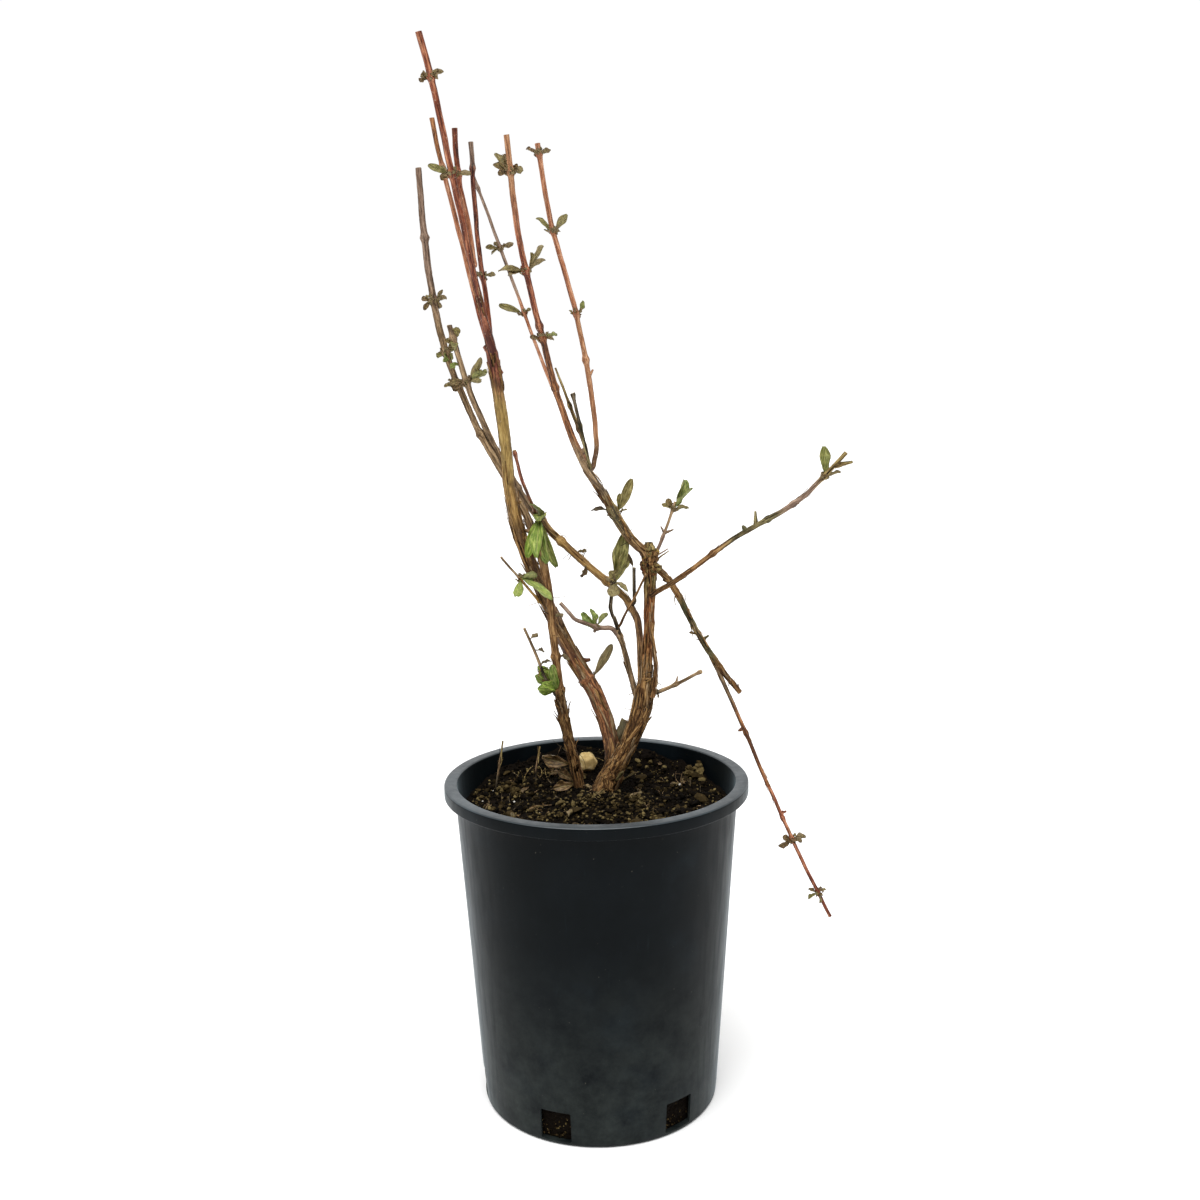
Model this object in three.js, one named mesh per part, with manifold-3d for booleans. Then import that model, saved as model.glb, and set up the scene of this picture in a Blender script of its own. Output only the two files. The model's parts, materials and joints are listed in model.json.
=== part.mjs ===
// Potted haskap bush: a young, nearly bare fruit bush in a round nursery pot.
// Millimetres, +Z up. The origin is the centre of the pot's underside, on the ground.
// The bush's widest spread lies along X and its front faces -Y.

import * as THREE from 'three';
import { mergeVertices } from 'three/addons/utils/BufferGeometryUtils.js';
import Module from 'manifold-3d';

const wasm = await Module();
wasm.setup();

// ---- Driving dimensions ----------------------------------------------------

const GAP = 0.3; // clear space between two pieces that touch

const POT = {
  height: 180,
  rimRadius: 82.5,
  rimInnerRadius: 75.4,
  lipHeight: 6.5,
  neckRadius: 76.6,
  baseRadius: 65,
  wall: 1.4,
  floor: 2,
  segments: 48,
};

const DRAIN = {
  count: 6,
  firstAngle: -21.5, // degrees from the front, towards -X
  width: 17,
  height: 17,
  sill: 2.2, // bottom edge above the ground
};

const SOIL = { top: 167, mound: 2, backRise: 10, segments: 44 };

const STONE = { centre: [-5.5, 44, 175], size: [12.5, 10, 11.5] };

const RING_SPACING = 14; // along a stem
const LEAF_THICKNESS = 1;
const NODE_BEAD = 1.6; // how far the swollen ring under a leaf pair stands out of its stem

// ---- Materials -------------------------------------------------------------

function finish(colour, roughness) {
  return new THREE.MeshStandardMaterial({ color: colour, roughness, metalness: 0 });
}

const MATERIALS = {
  plastic: finish('#262e30', 0.5),
  soil: finish('#1c140c', 0.95),
  stone: finish('#c9b98a', 0.7),
  oldBark: finish('#7a5a3e', 0.85),
  greyBark: finish('#86705c', 0.8),
  redBark: finish('#8a4a30', 0.5),
  tanBark: finish('#a9744a', 0.55),
  lichenBark: finish('#5c5640', 0.9),
  deadWood: finish('#6f6354', 0.9),
  leaf: finish('#7a7f4a', 0.6),
  straw: finish('#9c8a66', 0.8),
};

// ---- Solids ----------------------------------------------------------------

function toSolid(geometry) {
  const bare = geometry.clone();
  bare.deleteAttribute('normal');
  bare.deleteAttribute('uv');
  const merged = mergeVertices(bare, 1e-4);
  return new wasm.Manifold(new wasm.Mesh({
    numProp: 3,
    vertProperties: new Float32Array(merged.attributes.position.array),
    triVerts: new Uint32Array(merged.index.array),
  }));
}

function toGeometry(solid) {
  const mesh = solid.getMesh();
  const geometry = new THREE.BufferGeometry();
  geometry.setAttribute('position', new THREE.BufferAttribute(mesh.vertProperties, 3));
  geometry.setIndex(new THREE.BufferAttribute(mesh.triVerts, 1));
  geometry.computeVertexNormals();
  return geometry;
}

function largestPiece(solid) {
  return solid.decompose().reduce((a, b) => (b.volume() > a.volume() ? b : a));
}

function lathe(outline, segments) {
  const points = outline.map(([radius, z]) => new THREE.Vector2(radius, z));
  return new THREE.LatheGeometry(points, segments).rotateX(Math.PI / 2);
}

// ---- Pot -------------------------------------------------------------------

function drainHole(index) {
  const angle = THREE.MathUtils.degToRad(DRAIN.firstAngle + (360 / DRAIN.count) * index);
  const depth = 30;
  return new THREE.BoxGeometry(DRAIN.width, depth, DRAIN.height)
    .translate(0, -POT.baseRadius, DRAIN.sill + DRAIN.height / 2)
    .rotateZ(angle);
}

function potSolid() {
  const { height, rimRadius, rimInnerRadius, lipHeight, neckRadius, baseRadius, wall, floor } = POT;
  const lipBottom = height - lipHeight;
  const shell = lathe([
    [0, 0],
    [baseRadius - 1.5, 0],
    [baseRadius, 1.5],
    [neckRadius, lipBottom],
    [rimRadius, lipBottom],
    [rimRadius, height - 1],
    [rimRadius - 1, height],
    [rimInnerRadius + 0.6, height],
    [rimInnerRadius, height - 0.6],
    [neckRadius - wall, lipBottom - 1],
    [baseRadius - wall, floor + 1],
    [baseRadius - wall - 1, floor],
    [0, floor],
  ], POT.segments);
  let pot = toSolid(shell);
  for (let i = 0; i < DRAIN.count; i += 1) {
    pot = pot.subtract(toSolid(drainHole(i)));
  }
  return pot;
}

// ---- Soil ------------------------------------------------------------------

// Height of the soil's surface: a low mound round the stems with shallow hollows, banked up
// towards the back.
function soilHeight(x, y) {
  const radius = Math.hypot(x, y);
  const mound = SOIL.mound * Math.cos(Math.min(radius / 60, 1) * Math.PI);
  const bank = SOIL.backRise * (Math.max(y - 5, 0) / 61) ** 2;
  return SOIL.top + mound + bank + 0.9 * Math.sin(x * 0.11 + 1) * Math.cos(y * 0.13);
}

function soilSolid() {
  const { neckRadius, baseRadius, wall, floor, height, lipHeight } = POT;
  const bottom = floor + GAP;
  const wallSlope = (neckRadius - baseRadius) / (height - lipHeight);
  const edgeRadius = (z) => baseRadius - wall - GAP - 0.4 + wallSlope * z;
  const geometry = lathe([
    [0, bottom],
    [edgeRadius(0) - 1.5, bottom],
    [edgeRadius(8), 8],
    [edgeRadius(SOIL.top), SOIL.top],
    [56, SOIL.top],
    [38, SOIL.top],
    [20, SOIL.top],
    [0, SOIL.top],
  ], SOIL.segments);
  const position = geometry.attributes.position;
  for (let i = 0; i < position.count; i += 1) {
    if (position.getZ(i) > SOIL.top - 1) {
      position.setZ(i, soilHeight(position.getX(i), position.getY(i)));
    }
  }
  return toSolid(geometry);
}

// ---- Stone -----------------------------------------------------------------

// A rounded pebble, half sunk in the soil.
function stoneSolid(size) {
  const geometry = new THREE.IcosahedronGeometry(1, 2);
  const position = geometry.attributes.position;
  const v = new THREE.Vector3();
  for (let i = 0; i < position.count; i += 1) {
    v.fromBufferAttribute(position, i);
    const bump = 1 + 0.08 * Math.sin(3 * v.x + 2 * v.z) * Math.cos(2.5 * v.y - v.z);
    v.multiplyScalar(bump);
    position.setXYZ(i, v.x, v.y, v.z);
  }
  geometry.scale(...size.map((side) => side / 2));
  geometry.translate(...STONE.centre);
  return toSolid(geometry);
}

// ---- Stems -----------------------------------------------------------------

// Each route is a list of [x, y, z, radius], from the foot of the stem to its tip.
const STEMS = {
  left_cane: {
    bark: 'greyBark',
    route: [
      [-7, 14, 158, 2.9], [-12, 12, 184, 2.9], [-18, 9, 215, 2.5], [-22, 7, 256, 2.1],
      [-26, 10, 294, 2.1], [-37, 22, 324, 2], [-60, 26, 366, 1.8], [-78, 28, 412, 1.7],
      [-85, 30, 452, 1.8], [-89, 33, 505, 1.5],
    ],
  },
  right_cane: {
    bark: 'oldBark',
    route: [
      [1, 5, 158, 7], [6, 4, 175, 6], [18, 3, 198, 3.5], [26, 3, 219, 5.2], [27, 4, 228, 4.4],
      [28, 5, 240, 2.4], [30, 5, 268, 2.5], [30, 5, 288, 2.6], [32, 5, 296, 5.5], [30, 5, 303, 4],
    ],
  },
  main_cane: {
    bark: 'oldBark',
    route: [
      [9, 6, 182, 4.4], [9, 9, 196, 4.2], [2, 15, 219, 3.9], [-15, 22, 249, 3.6],
      [-31, 19, 287, 3.3], [-42, 11, 324, 3.1], [-46, 6, 372, 3], [-51, 3, 412, 2.9],
    ],
  },
  diagonal_cane: {
    bark: 'greyBark',
    route: [
      [25, 8, 224, 1.8], [25, 10, 252, 1.8], [22, 12, 271, 1.9], [10, 15, 283, 1.9],
      [-12, 21, 302, 2.1], [-30, 28, 320, 2], [-47, 30, 347, 1.8], [-64, 20, 388, 1.6],
      [-74, 22, 423, 1.4],
    ],
  },
  right_strand: {
    bark: 'oldBark',
    route: [[31, -3, 225, 1.4], [33, -3, 240, 1.2], [31, -1, 258, 1.2], [30, 4, 268, 1.2]],
  },
  leaning_cane: {
    bark: 'tanBark',
    route: [
      [29, 5, 301, 2.2], [18, 1, 313, 2.4], [4, -2, 338, 2.3], [-4, -4, 350, 1.9],
      [-16, -6, 383, 1.5], [-24, -9, 415, 1.5], [-34, -14, 463, 1.5], [-39, -19, 512, 1.4],
    ],
  },
  thin_shoot: {
    bark: 'tanBark',
    route: [[0, 0, 346, 1], [-8, 3, 362, 1], [-17, 2, 383, 1], [-33, 8, 426, 0.9],
      [-46, 15, 463, 0.9], [-59, 21, 499, 0.8]],
  },
  upright_shoot: {
    bark: 'tanBark',
    route: [[0, -1, 345, 1.4], [3, 3, 358, 1.4], [1, 4, 382, 1.5], [-6, 7, 425, 1.4],
      [-19, 11, 474, 1.4], [-25, 12, 513, 1.4]],
  },
  tall_shoot: {
    bark: 'redBark',
    route: [[-51, 3, 411, 2.6], [-55, 0, 430, 1.7], [-63, -3, 473, 1.6], [-72, -8, 521, 1.6],
      [-76, -9, 542, 1.6], [-81, -11, 562, 1.6]],
  },
  cut_shoot: {
    bark: 'redBark',
    route: [[-58, -1, 449, 1.4], [-60, 3, 469, 1.4], [-65, 3, 494, 1.4], [-66, 1, 519, 1.5]],
  },
  left_red_shoot: {
    bark: 'redBark',
    route: [[-52, 4, 411, 1.4], [-58, 9, 432, 1.4], [-66, 12, 468, 1.3], [-76, 16, 510, 1.3],
      [-79, 17, 527, 1.3]],
  },
  dark_red_shoot: {
    bark: 'redBark',
    route: [[-51, 4, 411, 1.4], [-53, 9, 433, 1.4], [-57, 10, 468, 1.3], [-59, 11, 514, 1.3]],
  },
  rising_branch: {
    bark: 'lichenBark',
    route: [[31, 3, 280, 1.3], [43, -5, 288, 1.3], [73, -17, 312, 1.2], [105, -26, 332, 1.2],
      [127, -33, 356, 0.9]],
  },
  drooping_branch: {
    bark: 'lichenBark',
    route: [[32, 8, 296, 1.7], [42, 12, 285, 1.6], [56, 14, 257, 1.5], [68, 15, 238, 1.5],
      [80, 17, 222, 1.3]],
  },
  drooping_shoot: {
    bark: 'redBark',
    route: [[62, 15, 248, 1.2], [77, 17, 214, 1.1], [101, 18, 157, 1], [118, 18, 119, 1],
      [132, 17, 90, 0.9]],
  },
  slender_shoot: {
    bark: 'deadWood',
    route: [[33, 7, 300, 0.8], [37, 17, 306, 0.8], [41, 18, 316, 0.7], [45, 18, 328, 0.7]],
  },
  low_cane: {
    bark: 'greyBark',
    route: [[24, 9, 219, 1.6], [19, 15, 236, 1.5], [15, 16, 253, 1.4], [13, 11, 260, 1.4]],
  },
  fine_twig: {
    bark: 'greyBark',
    route: [[13, 11, 259, 0.8], [18, 6, 271, 0.7], [24, 4, 282, 0.7], [28, 1, 291, 0.6]],
  },
  left_reach: {
    bark: 'greyBark',
    route: [[13, 11, 260, 1.4], [2, 10, 261, 1.3], [-8, 10, 264, 1.2], [-18, 9, 275, 1]],
  },
  dark_twig: {
    bark: 'deadWood',
    route: [[13, 11, 260, 1], [9, 4, 271, 0.9], [11, 4, 289, 0.8]],
  },
  dead_twig_left: {
    bark: 'deadWood',
    route: [[-1, 1, 346, 1.3], [-3, 8, 359, 1.2], [-10, 9, 378, 1], [-18, 10, 400, 0.5]],
  },
  dead_twig_right: {
    bark: 'deadWood',
    route: [[0, -3, 344, 1], [-3, -9, 360, 0.9], [-9, -11, 387, 0.9]],
  },
  black_stub: {
    bark: 'deadWood',
    route: [[22, 12, 272, 0.9], [22, 7, 279, 0.8], [22, 6, 294, 0.7]],
  },
  short_side_twig: {
    bark: 'greyBark',
    route: [[27, 3, 224, 1.2], [40, -6, 231, 1.1], [56, -17, 242, 0.8]],
  },
  grey_spur: {
    bark: 'deadWood',
    route: [[-19, 9, 222, 1], [-26, 4, 233, 0.9], [-31, 0, 248, 0.9], [-37, -4, 264, 0.7]],
  },
  upper_spur: {
    bark: 'greyBark',
    route: [[-26, 20, 270, 0.9], [-32, 16, 278, 0.8], [-40, 11, 289, 0.7], [-49, 5, 301, 0.6]],
  },
  red_side_shoot: {
    bark: 'redBark',
    route: [[-30, 28, 320, 1], [-35, 20, 334, 1], [-39, 17, 346, 1], [-41, 14, 357, 0.9]],
  },
};

const STEM_SIDES = { thick: 8, thin: 6, limit: 1.5 };

function sectionOutline(sides) {
  const outline = new THREE.Shape();
  for (let i = 0; i < sides; i += 1) {
    const angle = (i / sides) * Math.PI * 2;
    if (i === 0) outline.moveTo(1, 0);
    else outline.lineTo(Math.cos(angle), Math.sin(angle));
  }
  outline.closePath();
  return outline;
}

function stemCurve(route) {
  const points = route.map(([x, y, z]) => new THREE.Vector3(x, y, z));
  return new THREE.CatmullRomCurve3(points, false, 'centripetal');
}

// A tube of changing radius along a smooth curve. The tube is drawn at radius 1, then each
// of its rings is scaled about its own centre.
function stemGeometry(route, extra = 0) {
  const curve = stemCurve(route);
  const steps = Math.max(2, Math.round(curve.getLength() / RING_SPACING));
  const widest = Math.max(...route.map((point) => point[3]));
  const sides = widest > STEM_SIDES.limit ? STEM_SIDES.thick : STEM_SIDES.thin;
  const geometry = new THREE.ExtrudeGeometry(sectionOutline(sides), {
    steps, bevelEnabled: false, extrudePath: curve,
  });
  const rings = [];
  for (let i = 0; i <= steps; i += 1) {
    const t = curve.getUtoTmapping(i / steps) * (route.length - 1);
    const k = Math.min(Math.floor(t), route.length - 2);
    const radius = THREE.MathUtils.lerp(route[k][3], route[k + 1][3], t - k);
    rings.push({ centre: curve.getPointAt(i / steps), radius: radius + extra });
  }
  const position = geometry.attributes.position;
  const v = new THREE.Vector3();
  for (let i = 0; i < position.count; i += 1) {
    v.fromBufferAttribute(position, i);
    const offBy = (ring) => Math.abs(v.distanceTo(ring.centre) - 1);
    const ring = rings.reduce((best, other) => (offBy(other) < offBy(best) ? other : best));
    v.sub(ring.centre).multiplyScalar(ring.radius).add(ring.centre);
    position.setXYZ(i, v.x, v.y, v.z);
  }
  return geometry;
}

// ---- Leaves ----------------------------------------------------------------

// Each tuft sits on a stem at a height. Its leaves are [heading, climb, length, width]:
// heading is in degrees from +X towards +Y, climb in degrees above level.
const TUFTS = {
  tall_shoot_tip_leaves: { stem: 'tall_shoot', height: 541, leaves: [[180, 20, 6, 3], [0, 10, 6, 3]] },
  tall_shoot_leaves: { stem: 'tall_shoot', height: 494, leaves: [[180, 35, 13, 4], [0, 25, 9, 4]] },
  dark_red_shoot_leaves: { stem: 'dark_red_shoot', height: 446, leaves: [[0, 5, 9, 3.5], [180, 40, 6, 3]] },
  left_cane_bud: { stem: 'left_cane', height: 390, leaves: [[185, 5, 7, 4], [30, 55, 8, 5]] },
  left_cane_scales: { stem: 'left_cane', height: 435, leaves: [[0, 65, 6, 4], [180, 30, 5, 3]] },
  left_cane_upper_bud: { stem: 'left_cane', height: 408, leaves: [[60, 60, 6, 3.5], [200, 50, 5, 3]] },
  diagonal_cane_leaves: { stem: 'diagonal_cane', height: 391, leaves: [[20, 60, 12, 4], [200, 55, 8, 4]] },
  leaning_cane_leaves_low: { stem: 'leaning_cane', height: 414, leaves: [[180, 25, 7, 4], [0, 15, 9, 4]] },
  leaning_cane_leaves_mid: {
    stem: 'leaning_cane', height: 447, leaves: [[180, 10, 16, 6], [0, 50, 17, 6]],
  },
  leaning_cane_leaves_top: {
    stem: 'leaning_cane', height: 494, leaves: [[180, 50, 11, 5], [190, 20, 7, 4]],
  },
  thin_shoot_leaves_low: { stem: 'thin_shoot', height: 427, leaves: [[180, 30, 15, 5], [0, 20, 5, 3]] },
  thin_shoot_leaves_top: { stem: 'thin_shoot', height: 461, leaves: [[180, 10, 8, 4], [0, 15, 8, 4]] },
  upright_shoot_leaves_low: {
    stem: 'upright_shoot', height: 425, leaves: [[0, 60, 9, 4], [180, 50, 6, 3]],
  },
  upright_shoot_leaves_mid: {
    stem: 'upright_shoot', height: 467, leaves: [[180, 45, 13, 5], [0, 40, 12, 5]],
  },
  upright_shoot_leaves_top: {
    stem: 'upright_shoot', height: 507, leaves: [[180, 40, 7, 4], [0, 30, 5, 3]],
  },
  rising_branch_leaf: { stem: 'rising_branch', height: 343, leaves: [[120, 78, 15, 7], [10, 15, 7, 3]] },
  leaning_cane_spur_leaf: { stem: 'leaning_cane', height: 323, leaves: [[10, 62, 22, 8], [20, 20, 6, 4]] },
  slender_shoot_leaf: { stem: 'slender_shoot', height: 323, leaves: [[0, 62, 17, 10], [185, 15, 6, 4]] },
  big_green_leaves: { stem: 'diagonal_cane', height: 318, leaves: [[240, -75, 24, 9], [290, -60, 20, 8]] },
  upper_spur_leaves: { stem: 'upper_spur', height: 288, leaves: [[0, 10, 9, 5], [230, -50, 9, 5]] },
  left_reach_leaves: { stem: 'left_reach', height: 261, leaves: [[150, 50, 11, 6], [-60, 45, 9, 5]] },
  dark_twig_leaf: { stem: 'dark_twig', height: 286, leaves: [[20, 76, 24, 9], [-20, -45, 11, 4]] },
  main_cane_spur_leaf: { stem: 'main_cane', height: 229, leaves: [[0, 42, 21, 5]] },
  left_cane_leaf_cluster: { stem: 'left_cane', height: 224, leaves: [[200, 60, 19, 8], [160, 30, 15, 7]] },
  drooping_shoot_leaves: { stem: 'drooping_shoot', height: 136, leaves: [[200, -40, 8, 4], [0, 15, 7, 4]] },
  drooping_shoot_tip_leaves: {
    stem: 'drooping_shoot', height: 104, leaves: [[200, -50, 7, 4], [20, 10, 6, 4]],
  },
};

// A leaf grows along +X from the origin, folded a little along its midrib.
function leafGeometry(length, width) {
  const geometry = new THREE.SphereGeometry(1, 6, 5);
  geometry.rotateZ(Math.PI / 2).scale(length / 2, width / 2, LEAF_THICKNESS / 2);
  const position = geometry.attributes.position;
  for (let i = 0; i < position.count; i += 1) {
    const along = position.getX(i) / length + 0.5;
    const across = Math.abs(position.getY(i)) / width;
    const arch = 0.12 * length * Math.sin(along * Math.PI);
    position.setX(i, position.getX(i) + length / 2);
    position.setZ(i, position.getZ(i) + across * width * 0.3 + arch);
  }
  return geometry;
}

function stemPointAt(route, height) {
  const points = stemCurve(route).getSpacedPoints(200);
  return points.reduce((a, b) => (Math.abs(b.z - height) < Math.abs(a.z - height) ? b : a));
}

// A swollen ring round the stem with its leaves growing out of it.
function tuftSolid({ stem, height, leaves }) {
  const { route } = STEMS[stem];
  const node = stemPointAt(route, height);
  const nearest = route.reduce((a, b) => (
    Math.abs(b[2] - height) < Math.abs(a[2] - height) ? b : a
  ));
  const bud = new THREE.OctahedronGeometry(nearest[3] + GAP + NODE_BEAD, 1);
  let tuft = toSolid(bud);
  for (const [heading, climb, length, width] of leaves) {
    const leaf = leafGeometry(length, width)
      .rotateY(-THREE.MathUtils.degToRad(climb))
      .rotateZ(THREE.MathUtils.degToRad(heading));
    tuft = tuft.add(toSolid(leaf));
  }
  return tuft.translate([node.x, node.y, node.z]);
}

// ---- Dry stalks standing in the soil ----------------------------------------

const DRY_STALKS = {
  dry_stalk_left: [[-57, 19, 166, 0.8], [-54, 20, 182, 0.8], [-52, 22, 195, 0.7]],
  dry_stalk_middle: [[-35, 31, 165, 0.8], [-34, 34, 177, 0.8], [-32, 37, 187, 0.7]],
  dry_stalk_right: [[8, 26, 167, 0.8], [17, 30, 184, 0.8], [24, 33, 192, 0.7]],
};

// ---- Assembly --------------------------------------------------------------

const group = new THREE.Group();

function addPiece(name, solid, material) {
  const mesh = new THREE.Mesh(toGeometry(solid), material.clone());
  mesh.name = name;
  group.add(mesh);
}

// Everything placed so far, swollen by the gap, so that the next piece can be cut clear of it.
const placed = [];

function clearOfPlaced(solid) {
  return placed.reduce((rest, other) => rest.subtract(other), solid);
}

for (const [name, { bark, route }] of Object.entries(STEMS)) {
  addPiece(name, largestPiece(clearOfPlaced(toSolid(stemGeometry(route)))), MATERIALS[bark]);
  placed.push(toSolid(stemGeometry(route, GAP)));
}

for (const [name, route] of Object.entries(DRY_STALKS)) {
  addPiece(name, clearOfPlaced(toSolid(stemGeometry(route))), MATERIALS.straw);
  placed.push(toSolid(stemGeometry(route, GAP)));
}

addPiece('stone', stoneSolid(STONE.size), MATERIALS.stone);
placed.push(stoneSolid(STONE.size.map((side) => side + 2 * GAP)));

addPiece('soil', clearOfPlaced(soilSolid()), MATERIALS.soil);
addPiece('pot', potSolid(), MATERIALS.plastic);

for (const [name, tuft] of Object.entries(TUFTS)) {
  addPiece(name, largestPiece(clearOfPlaced(tuftSolid(tuft))), MATERIALS.leaf);
}

export default group;
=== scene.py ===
"""Potted haskap bush: the looks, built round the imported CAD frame.

Metres, +Z up, origin under the middle of the pot. Every stem's centreline and thickness is
read back from its CAD node, and every leaf pair sits where its CAD node sits.
"""

import json
import math
import random

import bpy
import numpy as np
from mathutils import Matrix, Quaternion, Vector, noise
from mathutils.bvhtree import BVHTree

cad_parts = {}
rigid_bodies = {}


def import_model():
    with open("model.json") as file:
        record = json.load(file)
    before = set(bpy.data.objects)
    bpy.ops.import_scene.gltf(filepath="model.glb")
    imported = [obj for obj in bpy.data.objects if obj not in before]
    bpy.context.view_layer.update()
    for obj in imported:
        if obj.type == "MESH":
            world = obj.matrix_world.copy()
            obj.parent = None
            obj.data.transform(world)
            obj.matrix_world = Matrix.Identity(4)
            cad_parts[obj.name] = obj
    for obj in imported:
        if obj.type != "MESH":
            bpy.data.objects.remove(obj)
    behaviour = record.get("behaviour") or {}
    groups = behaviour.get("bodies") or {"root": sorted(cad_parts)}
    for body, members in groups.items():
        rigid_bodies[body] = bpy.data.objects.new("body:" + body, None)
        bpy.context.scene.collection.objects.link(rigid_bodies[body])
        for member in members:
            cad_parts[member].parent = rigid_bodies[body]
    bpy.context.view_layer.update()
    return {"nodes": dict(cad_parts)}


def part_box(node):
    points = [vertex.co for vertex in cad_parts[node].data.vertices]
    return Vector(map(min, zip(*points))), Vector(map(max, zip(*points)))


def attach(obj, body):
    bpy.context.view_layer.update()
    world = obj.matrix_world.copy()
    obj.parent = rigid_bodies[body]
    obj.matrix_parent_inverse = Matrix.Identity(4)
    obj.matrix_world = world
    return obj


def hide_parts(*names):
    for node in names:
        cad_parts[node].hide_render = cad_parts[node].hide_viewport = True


for leftover in list(bpy.data.objects):
    bpy.data.objects.remove(leftover)

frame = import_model()

MM = 0.001
UP = Vector((0, 0, 1))
rng = random.Random(11)


# ---- Mesh building -----------------------------------------------------------------


class Build:
    """Collects corners and faces for one piece, with a grain coordinate and a tint each."""

    def __init__(self):
        self.points, self.faces, self.slots = [], [], []
        self.grain, self.tint = [], []

    def add(self, points, faces, grain=None, tint=0.5, slot=0):
        first = len(self.points)
        self.points.extend(points)
        self.grain.extend(grain if grain is not None else [tuple(p) for p in points])
        self.tint.extend(tint if isinstance(tint, list) else [tint] * len(points))
        self.faces.extend(tuple(first + i for i in face) for face in faces)
        self.slots.extend([slot] * len(faces))

    def finish(self, name, materials, smooth=True):
        mesh = bpy.data.meshes.new(name)
        mesh.from_pydata([tuple(p) for p in self.points], [], self.faces)
        grain = mesh.attributes.new("grain", "FLOAT_VECTOR", "POINT")
        grain.data.foreach_set("vector", np.array(self.grain, float).ravel())
        tint = mesh.attributes.new("tint", "FLOAT", "POINT")
        tint.data.foreach_set("value", np.array(self.tint, float))
        for material in materials:
            mesh.materials.append(material)
        mesh.polygons.foreach_set("material_index", self.slots)
        mesh.polygons.foreach_set("use_smooth", [smooth] * len(self.faces))
        mesh.validate()
        mesh.update()
        piece = bpy.data.objects.new(name, mesh)
        bpy.context.scene.collection.objects.link(piece)
        return piece


def stand_for(piece, *nodes):
    """The piece takes the place of these CAD nodes, which it hides, and rides on the root body."""
    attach(piece, "root")
    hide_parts(*nodes)


def ring_faces(rings, sides, closed_ends=True):
    """Quads between rings of corners that are stored one after another."""
    faces = []
    for i in range(rings - 1):
        for j in range(sides):
            k = (j + 1) % sides
            low, high = i * sides, (i + 1) * sides
            faces.append((low + j, low + k, high + k, high + j))
    if closed_ends:
        faces.append(tuple(reversed(range(sides))))
        faces.append(tuple(range((rings - 1) * sides, rings * sides)))
    return faces


def circle(sides):
    """Cosine and sine at each corner of a ring."""
    angles = [2 * math.pi * j / sides for j in range(sides)]
    return [(math.cos(a), math.sin(a)) for a in angles]


def flipped(faces):
    return [tuple(reversed(face)) for face in faces]


def across(direction):
    """Two unit vectors square to a direction and to each other."""
    helper = UP if abs(direction.z) < 0.9 else Vector((1, 0, 0))
    side = direction.cross(helper).normalized()
    return side, side.cross(direction).normalized()


def aim(heading, climb):
    """Unit vector: heading in degrees from +X towards +Y, climb in degrees above level."""
    h, c = math.radians(heading), math.radians(climb)
    return Vector((math.cos(h) * math.cos(c), math.sin(h) * math.cos(c), math.sin(c)))


# ---- Materials ---------------------------------------------------------------------


def rgb(code):
    """Linear colour from a six-digit hex code."""
    parts = [int(code[i:i + 2], 16) / 255 for i in (1, 3, 5)]
    return [c / 12.92 if c <= 0.04045 else ((c + 0.055) / 1.055) ** 2.4 for c in parts] + [1]


class Shader:
    """A principled material with short calls for the nodes used here."""

    def __init__(self, name, roughness=0.6, **sockets):
        self.material = bpy.data.materials.new(name)
        self.material.use_nodes = True
        self.tree = self.material.node_tree
        self.surface = self.tree.nodes["Principled BSDF"]
        self.surface.inputs["Roughness"].default_value = roughness
        for socket, value in sockets.items():
            self.surface.inputs[socket.replace("_", " ")].default_value = value

    def put(self, socket, value):
        """Links a socket, or sets it when the value is a constant."""
        if isinstance(value, bpy.types.NodeSocket):
            self.tree.links.new(value, socket)
        else:
            socket.default_value = value

    def node(self, kind, inputs=None, **settings):
        node = self.tree.nodes.new(kind)
        for key, value in settings.items():
            setattr(node, key, value)
        for key, value in (inputs or {}).items():
            self.put(node.inputs[key], value)
        return node

    def attribute(self, name, output):
        return self.node("ShaderNodeAttribute", attribute_name=name).outputs[output]

    def stretched(self, scale):
        """The grain coordinate, scaled: stems run along its third axis."""
        grain = self.attribute("grain", "Vector")
        return self.node("ShaderNodeMapping", {"Vector": grain, "Scale": scale}).outputs[0]

    def noise(self, vector, scale, detail=4, roughness=0.6):
        return self.node("ShaderNodeTexNoise", {
            "Vector": vector, "Scale": scale, "Detail": detail, "Roughness": roughness,
        }).outputs["Fac"]

    def ramp(self, factor, *stops):
        """Colour ramp; each stop is (place, colour)."""
        node = self.node("ShaderNodeValToRGB", {"Fac": factor})
        elements = node.color_ramp.elements
        while len(elements) < len(stops):
            elements.new(0.5)
        for element, (place, colour) in zip(elements, stops):
            element.position = place
            element.color = rgb(colour)
        return node.outputs["Color"]

    def levels(self, factor, low, high, to_low=0.0, to_high=1.0):
        return self.node("ShaderNodeMapRange", {
            "Value": factor, "From Min": low, "From Max": high,
            "To Min": to_low, "To Max": to_high,
        }).outputs["Result"]

    def mix(self, factor, first, second):
        """Colour mix: its factor is socket 0, and its two colours are sockets 6 and 7."""
        node = self.node("ShaderNodeMix", data_type="RGBA")
        for socket, value in ((0, factor), (6, first), (7, second)):
            self.put(node.inputs[socket], value)
        return node.outputs[2]

    def math(self, operation, first, second=0.0):
        node = self.node("ShaderNodeMath", operation=operation)
        self.put(node.inputs[0], first)
        self.put(node.inputs[1], second)
        return node.outputs[0]

    def colour(self, value):
        self.put(self.surface.inputs["Base Color"], value)

    def roughness(self, value):
        self.put(self.surface.inputs["Roughness"], value)

    def bump(self, height, depth, strength=1.0):
        node = self.node("ShaderNodeBump", {
            "Height": height, "Distance": depth, "Strength": strength,
        })
        self.put(self.surface.inputs["Normal"], node.outputs["Normal"])


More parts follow.
